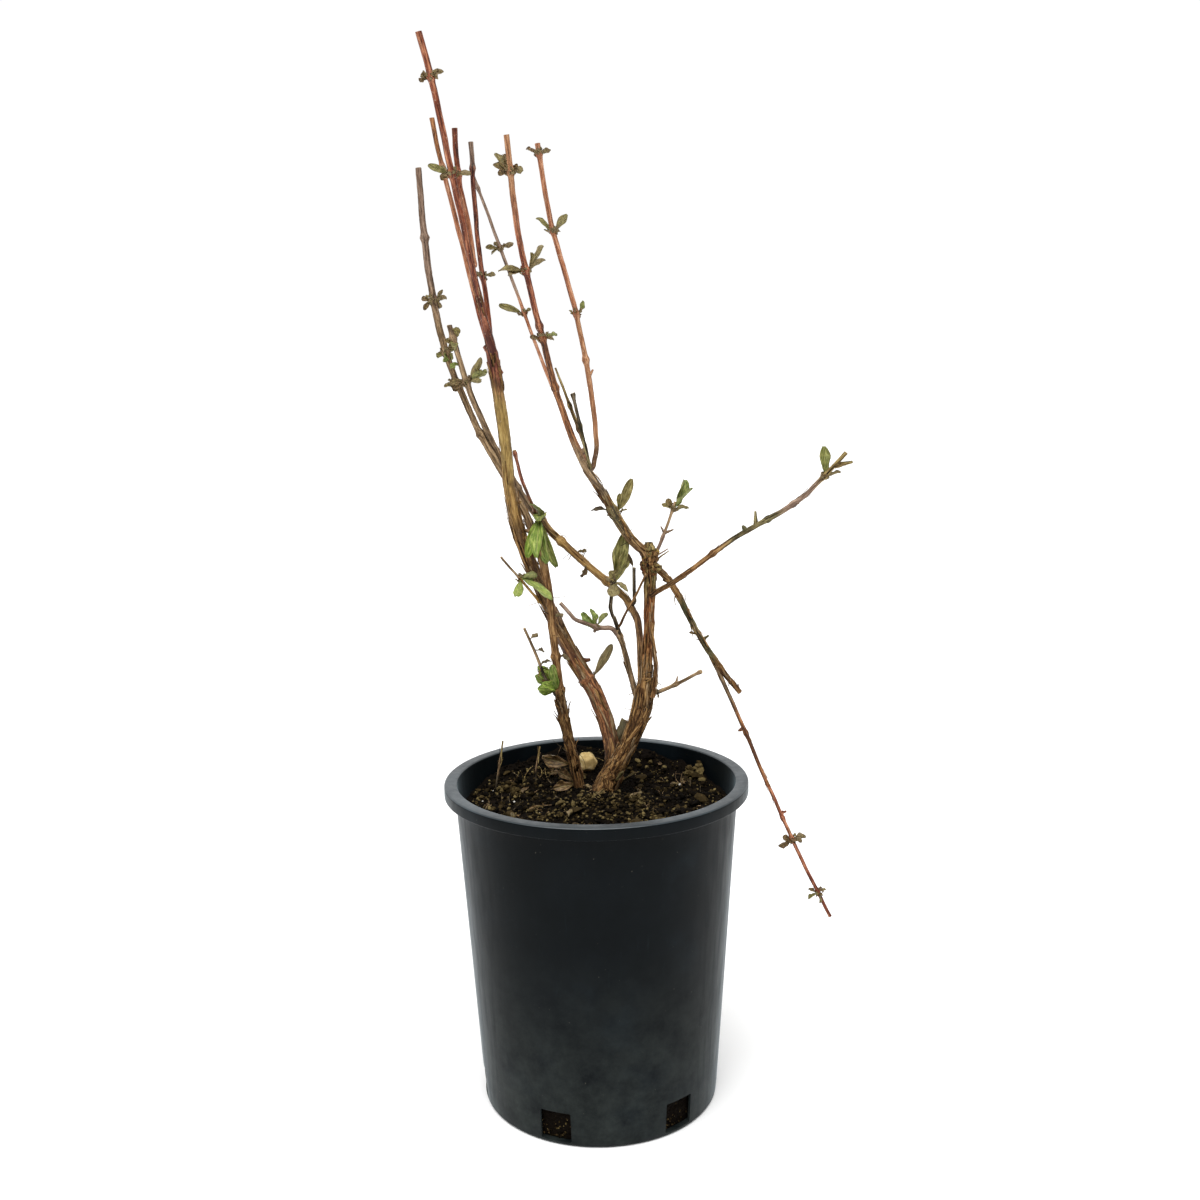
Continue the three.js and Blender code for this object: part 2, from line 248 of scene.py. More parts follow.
# Bark tones: dark, middle and light along the grain, and a fourth for blotches.
TONES = {
    "fibrous": ("#110a05", "#674729", "#ab8756", "#362414"),
    "olive": ("#151009", "#6b5632", "#aa9763", "#413f24"),
    "bare": ("#5a451f", "#8e733c", "#caae6d", "#5e471e"),
    "russet": ("#1a0904", "#714425", "#b47d4f", "#40200f"),
    "dark_red": ("#140403", "#5c2a1b", "#a66a4c", "#34120b"),
    "red": ("#230a06", "#7f4027", "#c98c68", "#4f1e10"),
    "pink": ("#3a190e", "#a26847", "#dcae8c", "#7b432a"),
    "tan": ("#33190c", "#9b6a47", "#d9ae86", "#6e4226"),
    "brown": ("#170e07", "#725030", "#b28d5e", "#472e17"),
    "golden": ("#3a2a10", "#866432", "#c29f60", "#523a17"),
    "grey": ("#20170f", "#7d6549", "#bda17c", "#4f3f2c"),
    "mauve": ("#2b1f18", "#7b6454", "#b49c88", "#54402f"),
    "lichen": ("#0e0c07", "#4d432b", "#90845c", "#515236"),
    "dark": ("#0a0806", "#3d3426", "#746753", "#241f16"),
}

# How strongly fibres and painted-shade cracks show in the smoother tones: 1 is old bark.
SMOOTH = {"bare": 0.3, "golden": 0.4, "pink": 0.4, "tan": 0.4, "red": 0.6, "grey": 0.55,
          "mauve": 0.45, "brown": 0.65, "russet": 0.7, "dark_red": 0.7}


def bark_tone(s, tone, fibres, blotch, shaded_cracks):
    """One tone of bark: fibres from dark to light, blotches, and cracks in painted shade."""
    dark, middle, light, patch = TONES[tone]
    rough = SMOOTH.get(tone, 1)
    spread = 0.085 / rough ** 0.6
    skin = s.ramp(fibres, (0.49 - spread, dark), (0.495, middle), (0.5 + spread, light))
    # Painted shade: the cracks are darkened to nearly black, as the shade inside them.
    skin = s.mix(s.math("MULTIPLY", shaded_cracks, 0.9 * rough), skin, rgb("#0b0603"))
    return s.mix(s.math("MULTIPLY", blotch, 0.6), skin, rgb(patch))


def bark(name, stages, fibre=1.0, roughness=0.7, specks=0.0):
    """Bark in long fibres. Stages are (tone, tint where it gives way to the next one)."""
    s = Shader(name, roughness, Specular_IOR_Level=0.12 if roughness > 0.65 else 0.3)
    fine = s.noise(s.stretched((1, 1, 0.08)), 2300, 5, 0.65)
    broad = s.noise(s.stretched((1, 1, 0.1)), 620, 3, 0.6)
    fibres = s.math("ADD", s.math("MULTIPLY", fine, 0.5), s.math("MULTIPLY", broad, 0.5))
    blotch = s.levels(s.noise(s.stretched((1, 1, 0.4)), 170, 3, 0.6), 0.52, 0.64)
    ragged = s.math("MULTIPLY", s.noise(s.stretched((1, 1, 0.1)), 380, 3), 0.16)
    place = s.math("ADD", s.attribute("tint", "Fac"), s.math("SUBTRACT", ragged, 0.08))
    # Cracks in the bark: sunk by the bump, and painted nearly black as shade in bark_tone.
    shaded_cracks = s.levels(s.noise(s.stretched((1, 1, 0.05)), 1000, 3, 0.55), 0.43, 0.37)
    tone = bark_tone(s, stages[0][0], fibres, blotch, shaded_cracks)
    for (_, change), (following, _) in zip(stages, stages[1:]):
        share = s.levels(place, change - 0.035, change + 0.035)
        tone = s.mix(share, tone, bark_tone(s, following, fibres, blotch, shaded_cracks))
    if specks:
        dots = s.noise(s.stretched((1, 1, 0.6)), 1300, 1, 0.5)
        tone = s.mix(s.levels(dots, 0.7, 0.76, 0, specks), tone, rgb("#d9c3a8"))
    s.colour(tone)
    s.roughness(s.levels(fine, 0.3, 0.7, roughness - 0.12, min(roughness + 0.12, 1)))
    s.bump(s.math("SUBTRACT", fibres, s.math("MULTIPLY", shaded_cracks, 0.4)), 0.5 * MM * fibre, 0.9)
    return s.material


def cut_wood():
    """Sawn ends: pale wood in noisy rings from brown to pale."""
    s = Shader("cut_wood", 0.8)
    rings = s.noise(s.stretched((1, 1, 1)), 1400, 3)
    s.colour(s.ramp(rings, (0.35, "#6f5639"), (0.65, "#b39a72")))
    s.bump(rings, 0.1 * MM, 0.5)
    return s.material


# Leaf tones over the dull one: the tints where each starts and is full, and its colours.
LEAF_TONES = (
    (0.15, 0.85, "#2c4212", "#6c8136", "#acb466"),  # fresh
    (1.0, 1.4, "#3f5f14", "#7c992c", "#bccb66"),  # lime
    (0.1, -0.2, "#1e140a", "#5c4529", "#a08459"),  # dead
    (-0.6, -1.0, "#080605", "#1f1812", "#4a3d2e"),  # black
)


def leaf_material():
    """Leaf blade. Grain is (0 to 1 along, -1 to 1 across, upper or lower side)."""
    s = Shader("leaf_blade", 0.5, Specular_IOR_Level=0.28)
    grain = s.attribute("grain", "Vector")
    along, over, upper = s.node("ShaderNodeSeparateXYZ", {"Vector": grain}).outputs
    tint = s.attribute("tint", "Fac")
    half = s.math("ABSOLUTE", over)
    slant = s.math("SUBTRACT", along, s.math("MULTIPLY", half, 0.22))
    veins = s.math("SINE", s.math("MULTIPLY", slant, 52))
    vein = s.levels(veins, 0.82, 1.0)
    rib = s.levels(half, 0.1, 0.02)
    mottle = s.noise(s.stretched((1.2, 1, 1)), 4, 5, 0.7)
    speckle = s.noise(s.node("ShaderNodeTexCoord").outputs["Object"], 1800, 3, 0.6)
    blade = s.ramp(mottle, (0.36, "#362a14"), (0.5, "#75673c"), (0.66, "#a99b66"))
    for start, full, dark, middle, light in LEAF_TONES:
        tone = s.ramp(mottle, (0.36, dark), (0.5, middle), (0.66, light))
        blade = s.mix(s.levels(tint, start, full), blade, tone)
    blade = s.mix(s.levels(speckle, 0.58, 0.72, 0, 0.35), blade, rgb("#5c4426"))
    edge = s.levels(half, 0.8, 1.0, 0, 0.5)
    blade = s.mix(edge, blade, rgb("#5a3d22"))
    lines = s.math("MAXIMUM", rib, s.math("MULTIPLY", vein, 0.4))
    blade = s.mix(s.math("MULTIPLY", lines, 0.5), blade, rgb("#9d9462"))
    blade = s.mix(s.levels(upper, 0.4, 0.6, 0.28, 0.0), blade, rgb("#988d68"))
    s.colour(blade)
    height = s.math("SUBTRACT", s.math("MULTIPLY", mottle, 0.6), lines)
    s.bump(height, 0.25 * MM, 0.7)
    s.surface.inputs["Subsurface Weight"].default_value = 0.12
    s.surface.inputs["Subsurface Radius"].default_value = (0.001, 0.0015, 0.0004)
    return s.material


def tinted(name, low, mid, high, scale, roughness, depth, grit=0.5):
    """A granular material whose tone follows the tint of each grain."""
    s = Shader(name, roughness, Specular_IOR_Level=0.05)
    where = s.node("ShaderNodeTexCoord").outputs["Object"]
    fine = s.noise(where, scale, 5, 0.7)
    tint = s.attribute("tint", "Fac")
    level = s.math("MULTIPLY_ADD", fine, grit)
    s.put(level.node.inputs[2], s.math("MULTIPLY", tint, 1 - grit))
    s.colour(s.ramp(level, (0.2, low), (0.5, mid), (0.8, high)))
    s.roughness(s.levels(fine, 0.3, 0.7, roughness - 0.1, roughness + 0.1))
    s.bump(fine, depth, 0.8)
    return s.material


def pot_plastic(name, specular, roughness, tones):
    """Black moulded plastic: a fine skin, rubbed marks, and dust low down."""
    s = Shader(name, roughness, Specular_IOR_Level=specular, Sheen_Weight=0.22,
               Sheen_Roughness=0.25)
    s.surface.inputs["Sheen Tint"].default_value = (0.75, 0.92, 1, 1)
    where = s.node("ShaderNodeTexCoord").outputs["Object"]
    height = s.node("ShaderNodeSeparateXYZ", {"Vector": where}).outputs["Z"]
    cloudy = s.noise(where, 22, 4, 0.6)
    skin = s.noise(where, 1500, 3, 0.6)
    flow = s.node("ShaderNodeMapping", {"Vector": where, "Scale": (1, 1, 0.12)}).outputs[0]
    rubbed = s.noise(flow, 260, 4, 0.6)
    base = s.ramp(cloudy, *zip((0.35, 0.55, 0.7), tones))
    foot = s.levels(height, 0.11, 0.0, 0, 0.55)
    dusty = s.math("MULTIPLY", s.levels(s.noise(where, 70, 5, 0.7), 0.3, 0.75), foot)
    base = s.mix(dusty, base, rgb("#3f4542"))
    base = s.mix(s.levels(rubbed, 0.64, 0.76, 0, 0.3), base, rgb("#1e2629"))
    grit = s.levels(s.noise(where, 800, 2, 0.5), 0.76, 0.79, 0, 0.6)
    base = s.mix(grit, base, rgb("#5d5a50"))
    s.colour(base)
    s.roughness(s.levels(rubbed, 0.35, 0.7, roughness - 0.06, roughness + 0.1))
    s.bump(s.math("ADD", skin, s.math("MULTIPLY", cloudy, 2.0)), 0.06 * MM, 0.35)
    return s.material


def floor_material():
    s = Shader("pale_floor", 0.7)
    where = s.node("ShaderNodeTexCoord").outputs["Object"]
    s.colour(s.ramp(s.noise(where, 3), (0.3, "#f4f4f3"), (0.7, "#fafafa")))
    return s.material


PEELED = bark("bark_peeled", (("fibrous", 0.7), ("grey", 1)), 1.0, 0.85)
WITHERED = bark("withered", (("dark", 0.6), ("fibrous", 1)), 1.0, 0.9)
CRUMBLED = bark("crumbled_bark", (("olive", 0.4), ("bare", 1)), 1.0, 0.9)
CUT_WOOD = cut_wood()
LEAF = leaf_material()
STRAW = bark("straw", (("dark", 0.3), ("grey", 0.7), ("olive", 1)), 0.5, 0.85)


# ---- Stems read back from the frame --------------------------------------------------

# Each stem's parent, the number of corners round it, how far its bark stands out, its
# roughness as a surface, and the tones of its bark with the place where each one ends.
STEMS = {
    "left_cane": (None, 20, 0.12, 0.7, (
        ("fibrous", 0.2), ("brown", 0.42), ("grey", 0.8), ("mauve", 1))),
    "right_cane": (None, 36, 0.18, 0.8, (("fibrous", 0.62), ("russet", 0.85), ("olive", 1))),
    "main_cane": ("right_cane", 30, 0.12, 0.6, (
        ("fibrous", 0.08), ("russet", 0.32), ("brown", 0.6), ("golden", 0.72), ("bare", 0.91),
        ("dark_red", 1))),
    "diagonal_cane": ("right_cane", 20, 0.09, 0.6, (
        ("brown", 0.22), ("golden", 0.5), ("grey", 1))),
    "right_strand": ("right_cane", 12, 0.12, 0.8, (("brown", 1),)),
    "leaning_cane": ("right_cane", 22, 0.1, 0.55, (
        ("fibrous", 0.1), ("olive", 0.2), ("grey", 0.32), ("russet", 0.6), ("red", 0.85),
        ("tan", 1))),
    "thin_shoot": ("leaning_cane", 12, 0.07, 0.55, (("pink", 0.6), ("mauve", 1))),
    "upright_shoot": ("leaning_cane", 14, 0.07, 0.5, (("brown", 0.1), ("tan", 0.5), ("pink", 1))),
    "tall_shoot": ("main_cane", 18, 0.06, 0.45, (("dark_red", 0.38), ("red", 1))),
    "cut_shoot": ("tall_shoot", 14, 0.07, 0.5, (("pink", 0.5), ("red", 1))),
    "left_red_shoot": ("main_cane", 14, 0.06, 0.5, (("red", 0.3), ("pink", 0.8), ("russet", 1))),
    "dark_red_shoot": ("main_cane", 14, 0.06, 0.5, (
        ("red", 0.35), ("dark_red", 0.9), ("mauve", 1))),
    "rising_branch": ("right_cane", 16, 0.09, 0.75, (
        ("fibrous", 0.2), ("brown", 0.4), ("lichen", 0.66), ("mauve", 0.85), ("olive", 1))),
    "drooping_branch": ("right_cane", 18, 0.2, 0.9, (
        ("fibrous", 0.3), ("lichen", 0.75), ("brown", 1))),
    "drooping_shoot": ("drooping_branch", 14, 0.09, 0.6, (
        ("grey", 0.2), ("russet", 0.5), ("red", 1))),
    "slender_shoot": ("right_cane", 12, 0.08, 0.7, (("mauve", 0.55), ("grey", 1))),
    "low_cane": ("right_cane", 14, 0.1, 0.7, (("grey", 1),)),
    "fine_twig": ("low_cane", 10, 0.08, 0.7, (("brown", 1),)),
    "left_reach": ("low_cane", 12, 0.08, 0.7, (("mauve", 1),)),
    "dark_twig": ("low_cane", 12, 0.1, 0.7, (("dark", 1),)),
    "dead_twig_left": ("leaning_cane", 10, 0.1, 0.8, (("grey", 0.5), ("olive", 1))),
    "dead_twig_right": ("leaning_cane", 10, 0.12, 0.8, (("lichen", 0.6), ("dark", 1))),
    "black_stub": ("diagonal_cane", 12, 0.1, 0.7, (("dark", 1),)),
    "short_side_twig": ("right_cane", 12, 0.1, 0.8, (("dark", 0.3), ("grey", 1))),
    "grey_spur": ("left_cane", 12, 0.12, 0.8, (("dark", 0.5), ("grey", 1))),
    "upper_spur": ("main_cane", 12, 0.1, 0.7, (("golden", 0.6), ("grey", 1))),
    "red_side_shoot": ("diagonal_cane", 14, 0.08, 0.4, (("russet", 0.5), ("red", 1))),
}
CAP_SIDES = (6, 8)  # the CAD stems are six- or eight-sided tubes
FACET_LOSS = 1.05  # a facetted tube's outline runs a little inside its corners
MARCH = 4 * MM  # from one slice through a CAD stem to the next
AXIS_STEP = 1.0 * MM  # between the points of a smoothed centreline
LOST_TIP = 20 * MM  # with no flat end this near its top, a stem's tip was cut away
TIP_REACH = 1.6 * MM  # the corners that make up such a tip
TIP_BELOW = (4 * MM, 26 * MM)  # the corners that give its direction
NEAR_TIP, STEP_BACK = 9, 7  # a foot this near its parent's tip steps back, in axis steps


def welded(node):
    """A CAD node's corners with the doubled ones joined, and its faces on those corners."""
    mesh = frame["nodes"][node].data
    ids, where, corner = {}, [], []
    for vertex in mesh.vertices:
        key = tuple(round(c * 1e6) for c in vertex.co)
        if key not in ids:
            ids[key] = len(where)
            where.append(vertex.co.copy())
        corner.append(ids[key])
    faces = [[corner[i] for i in face.vertices] for face in mesh.polygons]
    return where, faces, mesh


def flat_caps(where, faces, mesh):
    """Centre, radius and outward direction of each flat end of a CAD stem."""
    normals = np.array([face.normal for face in mesh.polygons])
    offsets = np.array([face.normal.dot(face.center) for face in mesh.polygons])
    found = {}
    for normal, offset in zip(normals, offsets):
        same = (normals @ normal > 0.9999) & (abs(offsets - offset) < 0.02 * MM)
        group = np.flatnonzero(same)
        cap = frozenset(i for k in group for i in faces[k])
        if len(cap) in CAP_SIDES and len(group) == len(cap) - 2:
            centre = sum((where[i] for i in cap), Vector()) / len(cap)
            radius = sum((where[i] - centre).length for i in cap) / len(cap)
            found[tuple(sorted(cap))] = (centre, radius, Vector(normal))
    return [found[key] for key in sorted(found)]


def uneven_tip(where, top):
    """Centre, radius and outward direction of a free end that isn't one flat face."""
    near = [p for p in where if (p - top).length < TIP_REACH]
    below = [p for p in where if TIP_BELOW[0] < (p - top).length < TIP_BELOW[1]]
    centre = sum(near, Vector()) / len(near)
    radius = max(sum((p - centre).length for p in near) / len(near), 0.4 * MM)
    return centre, radius, (centre - sum(below, Vector()) / len(below)).normalized()


def slice_stem(corners, point, normal, reach):
    """Centre and radius of the cut that a plane makes through a CAD stem near a point."""
    height = (corners - np.array(point)) @ np.array(normal)
    crossing = (height.min(1) < 0) & (height.max(1) > 0)
    middles, lengths = [], []
    for tri, h in zip(corners[crossing], height[crossing]):
        ends = [
            tri[i] + (tri[j] - tri[i]) * h[i] / (h[i] - h[j])
            for i, j in ((0, 1), (1, 2), (2, 0)) if h[i] * h[j] < 0
        ]
        if len(ends) == 2 and np.linalg.norm((ends[0] + ends[1]) / 2 - point) < reach:
            middles.append((ends[0] + ends[1]) / 2)
            lengths.append(np.linalg.norm(ends[0] - ends[1]))
    if len(lengths) < 3:
        return None
    lengths, middles = np.array(lengths), np.array(middles)
    centre = (middles * lengths[:, None]).sum(0) / lengths.sum()
    radius = (np.linalg.norm(middles - centre, axis=1) * lengths).sum() / lengths.sum()
    return Vector(centre), radius * FACET_LOSS


def trace(node, parent):
    """Centres and radii of a CAD stem, marched from its free tip to its foot."""
    where, faces, mesh = welded(node)
    corners = np.array([[where[i] for i in face] for face in faces])
    away = (lambda p: p.z) if parent is None else (lambda p: (p - parent.closest(p)).length)
    caps = flat_caps(where, faces, mesh)
    top = max(where, key=lambda p: p.z)
    if min((top - cap[0]).length for cap in caps) > LOST_TIP:
        caps.append(uneven_tip(where, top))
    centre, radius, outward = max(caps, key=lambda cap: away(cap[0]))
    heading = -outward
    centres, radii = [centre], [radius]
    while True:
        ahead = centres[-1] + heading * MARCH
        found = slice_stem(corners, ahead, heading, 2 * radii[-1] + 1.2 * MM)
        if found is None:
            break
        middle, radius = found
        heading = (heading + 2 * (middle - centres[-1]).normalized()).normalized()
        centres.append(middle)
        radii.append(min(max(radius, radii[-1] * 0.85), radii[-1] * 1.18))
    return centres[::-1], radii[::-1]


def smooth_path(points, radii, step):
    """Evenly spaced points and radii on a centripetal Catmull-Rom curve through the points."""
    ends = [2 * points[0] - points[1], *points, 2 * points[-1] - points[-2]]
    axis, thickness = [], []
    for k in range(1, len(ends) - 2):
        a, b, c, d = ends[k - 1:k + 3]
        knots = [0.0]
        for p, q in ((a, b), (b, c), (c, d)):
            knots.append(knots[-1] + max((q - p).length, 1e-6) ** 0.5)
        count = max(1, round((c - b).length / step))
        for i in range(count):
            t = knots[1] + (knots[2] - knots[1]) * i / count
            a1 = a.lerp(b, (t - knots[0]) / (knots[1] - knots[0]))
            a2 = b.lerp(c, (t - knots[1]) / (knots[2] - knots[1]))
            a3 = c.lerp(d, (t - knots[2]) / (knots[3] - knots[2]))
            b1 = a1.lerp(a2, (t - knots[0]) / (knots[2] - knots[0]))
            b2 = a2.lerp(a3, (t - knots[1]) / (knots[3] - knots[1]))
            axis.append(b1.lerp(b2, (t - knots[1]) / (knots[2] - knots[1])))
            thickness.append(radii[k - 1] + (radii[k] - radii[k - 1]) * i / count)
    return axis + [points[-1]], thickness + [radii[-1]]


class Stem:
    """A stem's centreline from its foot to its tip, with a frame at each point."""

    def __init__(self, name, parent):
        self.name, self.foot_radius = name, 0
        centres, radii = trace(name, parent)
        if parent is not None:
            root = parent.nearest(centres[0])
            if root > len(parent.axis) - NEAR_TIP:
                root -= STEP_BACK
            self.foot_radius = parent.radius[root] * 0.97
            centres.insert(0, parent.axis[root].copy())
            radii.insert(0, min(radii[0] * 1.1, parent.radius[root] * 0.95))
        self.axis, self.radius = smooth_path(centres, radii, AXIS_STEP)
        self.tangent = [
            (self.axis[min(i + 1, len(self.axis) - 1)] - self.axis[max(i - 1, 0)]).normalized()
            for i in range(len(self.axis))
        ]
        side, _ = across(self.tangent[0])
        self.side, self.up, self.run = [], [], [0.0]
        for i, tangent in enumerate(self.tangent):
            side = (side - tangent * side.dot(tangent)).normalized()
            self.side.append(side)
            self.up.append(tangent.cross(side))
            if i:
                self.run.append(self.run[-1] + (self.axis[i] - self.axis[i - 1]).length)

    def nearest(self, point):
        return min(range(len(self.axis)), key=lambda i: (self.axis[i] - point).length_squared)

    def closest(self, point):
        return self.axis[self.nearest(point)]

    def along(self, fraction):
        return round(fraction * (len(self.axis) - 1))

    def outward(self, i, angle):
        return self.side[i] * math.cos(angle) + self.up[i] * math.sin(angle)


stems = {}
for stem_name, spec in STEMS.items():
    stems[stem_name] = Stem(stem_name, stems.get(spec[0]))


# ---- Bark surface --------------------------------------------------------------------

# Bud nodes along each stem: fractions of its length where it swells into a ring.
NODES = {
    "left_cane": (0.24, 0.42, 0.6, 0.9),
    "diagonal_cane": (0.3, 0.44, 0.6, 0.97),
    "leaning_cane": (0.16, 0.46, 0.6),
    "thin_shoot": (0.96,),
    "upright_shoot": (0.35,),
    "cut_shoot": (0.68,),
    "left_red_shoot": (0.8,),
    "dark_red_shoot": (0.88,),
    "rising_branch": (0.34, 0.6, 0.72),
    "drooping_shoot": (0.3, 0.62),
    "slender_shoot": (0.5,),
    "red_side_shoot": (0.95,),
    "low_cane": (0.9,),
    "short_side_twig": (0.55, 0.97),
    "dead_twig_left": (0.45, 0.66),
    "dead_twig_right": (0.6, 0.97),
}
NODE_SWELL = 0.5  # of the radius
NODE_SPAN = 1.7 * MM
YOUNG_RADIUS = 1.6 * MM  # thicker wood has partly grown past its nodes
# How much a stem's foot widens into its parent, as a share of its radius.
FLARE = {"tall_shoot": 1.2, "drooping_branch": 0.6, "leaning_cane": 0.4, "diagonal_cane": 0.3}
FLARE_SPAN = {"tall_shoot": 13 * MM}
FLAKE_THICK = 0.16 * MM
# Stems that look thicker in the photograph than their CAD nodes are.
THICKER = {"black_stub": 1.35, "dark_twig": 1.25, "slender_shoot": 1.15, "rising_branch": 1.15,
           "drooping_shoot": 1.08}
SHRUNK = ("main_cane",)  # tips hidden in the stem that carries on from them
TIP_SPAN = 5 * MM  # how far such a tip narrows
SWAY_SPAN = 20 * MM  # from the foot up, until a stem sways at its fullest


def relief(run, c, s, amount, seed):
    """How far the bark stands out, as a share of the radius."""
    slow = noise.noise(Vector((c * 0.7 + seed, s * 0.7, run * 0.05)))
    ridge = 1 - 2 * abs(noise.noise(Vector((c * 2.6, s * 2.6 + seed, run * 0.16))))
    fine = noise.noise(Vector((c * 5 + seed, s * 5, run * 0.55)))
    return amount * (1.1 * slow + 0.7 * ridge + 0.55 * fine)


def swelling(stem, i, marks):
    """How much a stem swells at its bud nodes, as a share of its radius."""
    share = NODE_SWELL * min(1, YOUNG_RADIUS / stem.radius[i])
    return sum(share * math.exp(-((stem.run[i] - mark) / NODE_SPAN) ** 2) for mark in marks)


def stem_skin(build, stem, sides, rough, marks):
    """The ridged tube of a stem, open at its tip. Returns the rim of corners there."""
    seed = rng.uniform(0, 50)
    points, grain, tint = [], [], []
    flare = min(FLARE.get(stem.name, 0.25), max(stem.foot_radius / stem.radius[0] - 1, 0))
    span = FLARE_SPAN.get(stem.name, 4 * MM)
    for i, centre in enumerate(stem.axis):
        run, left = stem.run[i], stem.run[-1] - stem.run[i]
        swell = THICKER.get(stem.name, 1) + swelling(stem, i, marks)
        swell += flare * math.exp(-(run / span) ** 2)
        if stem.name in SHRUNK and left < TIP_SPAN:
            swell *= math.sqrt(max(1 - (1 - left / TIP_SPAN) ** 2, 0.2))
        spot, lift = centre * 70, UP * seed
        sway = Vector((noise.noise(spot + lift), noise.noise(spot - lift), 0))
        centre = centre + sway * 0.35 * MM * min(run, SWAY_SPAN) / SWAY_SPAN
        for c, s in circle(sides):
            r = stem.radius[i] * swell * (1 + relief(run / MM, c, s, rough, seed))
            points.append(centre + (stem.side[i] * c + stem.up[i] * s) * r)
            grain.append((c * r, s * r, run + seed))
            tint.append(i / (len(stem.axis) - 1))
    faces = ring_faces(len(stem.axis), sides, False) + flipped([range(sides)])
    build.add(points, faces, grain, tint)
    return points[-sides:]


def cut_end(build, stem, rim):
    """A snipped tip: a small chamfer, a nearly flat face, and a sunken pith."""
    tip, along, sides = stem.axis[-1], stem.tangent[-1], len(rim)
    radius = stem.radius[-1]
    lean = stem.side[-1] * rng.uniform(-0.5, 0.5) + stem.up[-1] * rng.uniform(-0.5, 0.5)
    points = list(rim)
    for share, lift in ((0.93, 0.06), (0.45, 0.07), (0.2, 0.02)):
        for p in rim:
            flat = tip + (p - tip) * share
            points.append(flat + along * radius * lift + along * (p - tip).dot(lean) * share * 0.4)
    points.append(tip - along * radius * 0.15)
    last = 3 * sides
    faces = ring_faces(4, sides, False)
    faces += [(last + j, last + (j + 1) % sides, len(points) - 1) for j in range(sides)]
    build.add(points, faces, tint=0.6, slot=1)


def flake(build, stem, i, angle, length, width, lift, twist, slot):
    """A strip of bark along the stem, held at one end and peeling at the other."""
    steps, thick = 8, FLAKE_THICK
    count = max(2, round(length / AXIS_STEP))
    step_sign = 1 if i + count < len(stem.axis) else -1
    points, grain = [], []
    for k in range(steps + 1):
        t = k / steps
        n = min(max(i + step_sign * round(t * count), 0), len(stem.axis) - 1)
        turn = angle + twist * t
        out = stem.outward(n, turn)
        wide = stem.tangent[n].cross(out)
        base = stem.axis[n] + out * (stem.radius[n] * 1.04 + lift * t ** 2.2)
        half = 0.5 * width * math.sin(math.pi * (0.12 + 0.8 * t)) ** 0.6
        cup = out * (0.25 * half)
        ring = (base - wide * half + cup, base - wide * half + cup + out * thick,
                base + out * thick, base + wide * half + cup + out * thick,
                base + wide * half + cup, base)
        points.extend(ring)
        grain.extend((p - stem.axis[n]).to_tuple()[:2] + (k * length / steps,) for p in ring)
    faces = ring_faces(steps + 1, 6)
    if step_sign < 0:
        faces = flipped(faces)
    build.add(points, faces, grain, rng.random(), slot)


# Peeling strips on a stem: from and to (fractions), how many, longest, widest, lift (mm).
PEELING = {
    "main_cane": (
        (0.02, 0.62, 120, 26, 2.2, 1.6), (0.62, 0.9, 14, 30, 0.8, 0.5),
        (0.9, 1.0, 26, 12, 1.8, 1.4)),
    "right_cane": (
        (0.05, 0.55, 95, 18, 3.2, 2.2), (0.55, 0.85, 30, 18, 1.4, 1.4),
        (0.85, 1.0, 18, 6, 2.4, 1.6)),
    "leaning_cane": ((0.0, 0.24, 46, 9, 1.6, 1.6),),
    "diagonal_cane": ((0.0, 0.5, 34, 14, 0.9, 1.0),),
    "left_cane": ((0.02, 0.2, 44, 12, 2.4, 3.2), (0.2, 0.5, 26, 14, 0.8, 1.0)),
    "drooping_branch": ((0.0, 1.0, 60, 7, 1.2, 2.0),),
    "rising_branch": ((0.0, 0.8, 26, 8, 0.7, 0.8),),
    "low_cane": ((0.0, 1.0, 16, 9, 0.9, 1.0),),
    "right_strand": ((0.0, 1.0, 22, 12, 1.0, 1.6),),
    "tall_shoot": ((0.0, 0.2, 10, 10, 0.9, 0.7),),
    "drooping_shoot": ((0.0, 0.7, 18, 7, 0.6, 0.8),),
}


# Short side snags on a stem: place along it, heading, climb, length and radius in mm.
SNAGS = {
    "rising_branch": ((0.93, -4, 12, 9, 1.2), (0.55, 100, 82, 7, 1.0), (0.5, 150, 60, 3, 1.3)),
    "right_cane": (
        (0.985, 100, 78, 5, 3.6), (0.94, -20, 5, 5, 2.6), (0.95, 5, 34, 11, 0.5),
        (0.52, -60, 25, 5, 1.8)),
    "main_cane": (
        (0.28, 10, 5, 6, 1.5), (0.985, 175, 40, 4, 1.9), (0.94, 0, 30, 2.5, 2.4),
        (0.955, 250, 0, 1.2, 2.2), (0.935, 200, 10, 1.2, 2.0), (0.66, 0, 25, 4, 0.8)),
    "left_cane": (
        (0.2, 200, 10, 8, 0.8), (0.095, 15, 0, 1.4, 2.8), (0.11, 195, 10, 1.4, 2.8),
        (0.43, 190, 20, 4, 1.3)),
    "diagonal_cane": ((0.2, 180, 60, 4, 1.5),),
    "leaning_cane": ((0.13, 190, 35, 4, 1.6), (0.3, 10, 55, 5, 1.2)),
    "slender_shoot": ((0.12, 0, 30, 9, 0.5), (0.55, 5, 22, 5, 0.7), (0.55, 175, 62, 4, 0.6)),
    "upright_shoot": ((0.3, 0, 58, 4, 0.8),),
    "drooping_branch": ((0.2, 200, 20, 4, 1.0), (0.6, 20, 30, 4, 0.9)),
    "drooping_shoot": ((0.28, 200, -20, 3, 1.0), (0.6, 10, 10, 3, 0.9)),
    "short_side_twig": ((0.55, 60, 60, 4, 0.6),),
    "low_cane": ((0.97, 120, 70, 7, 0.5),),
}


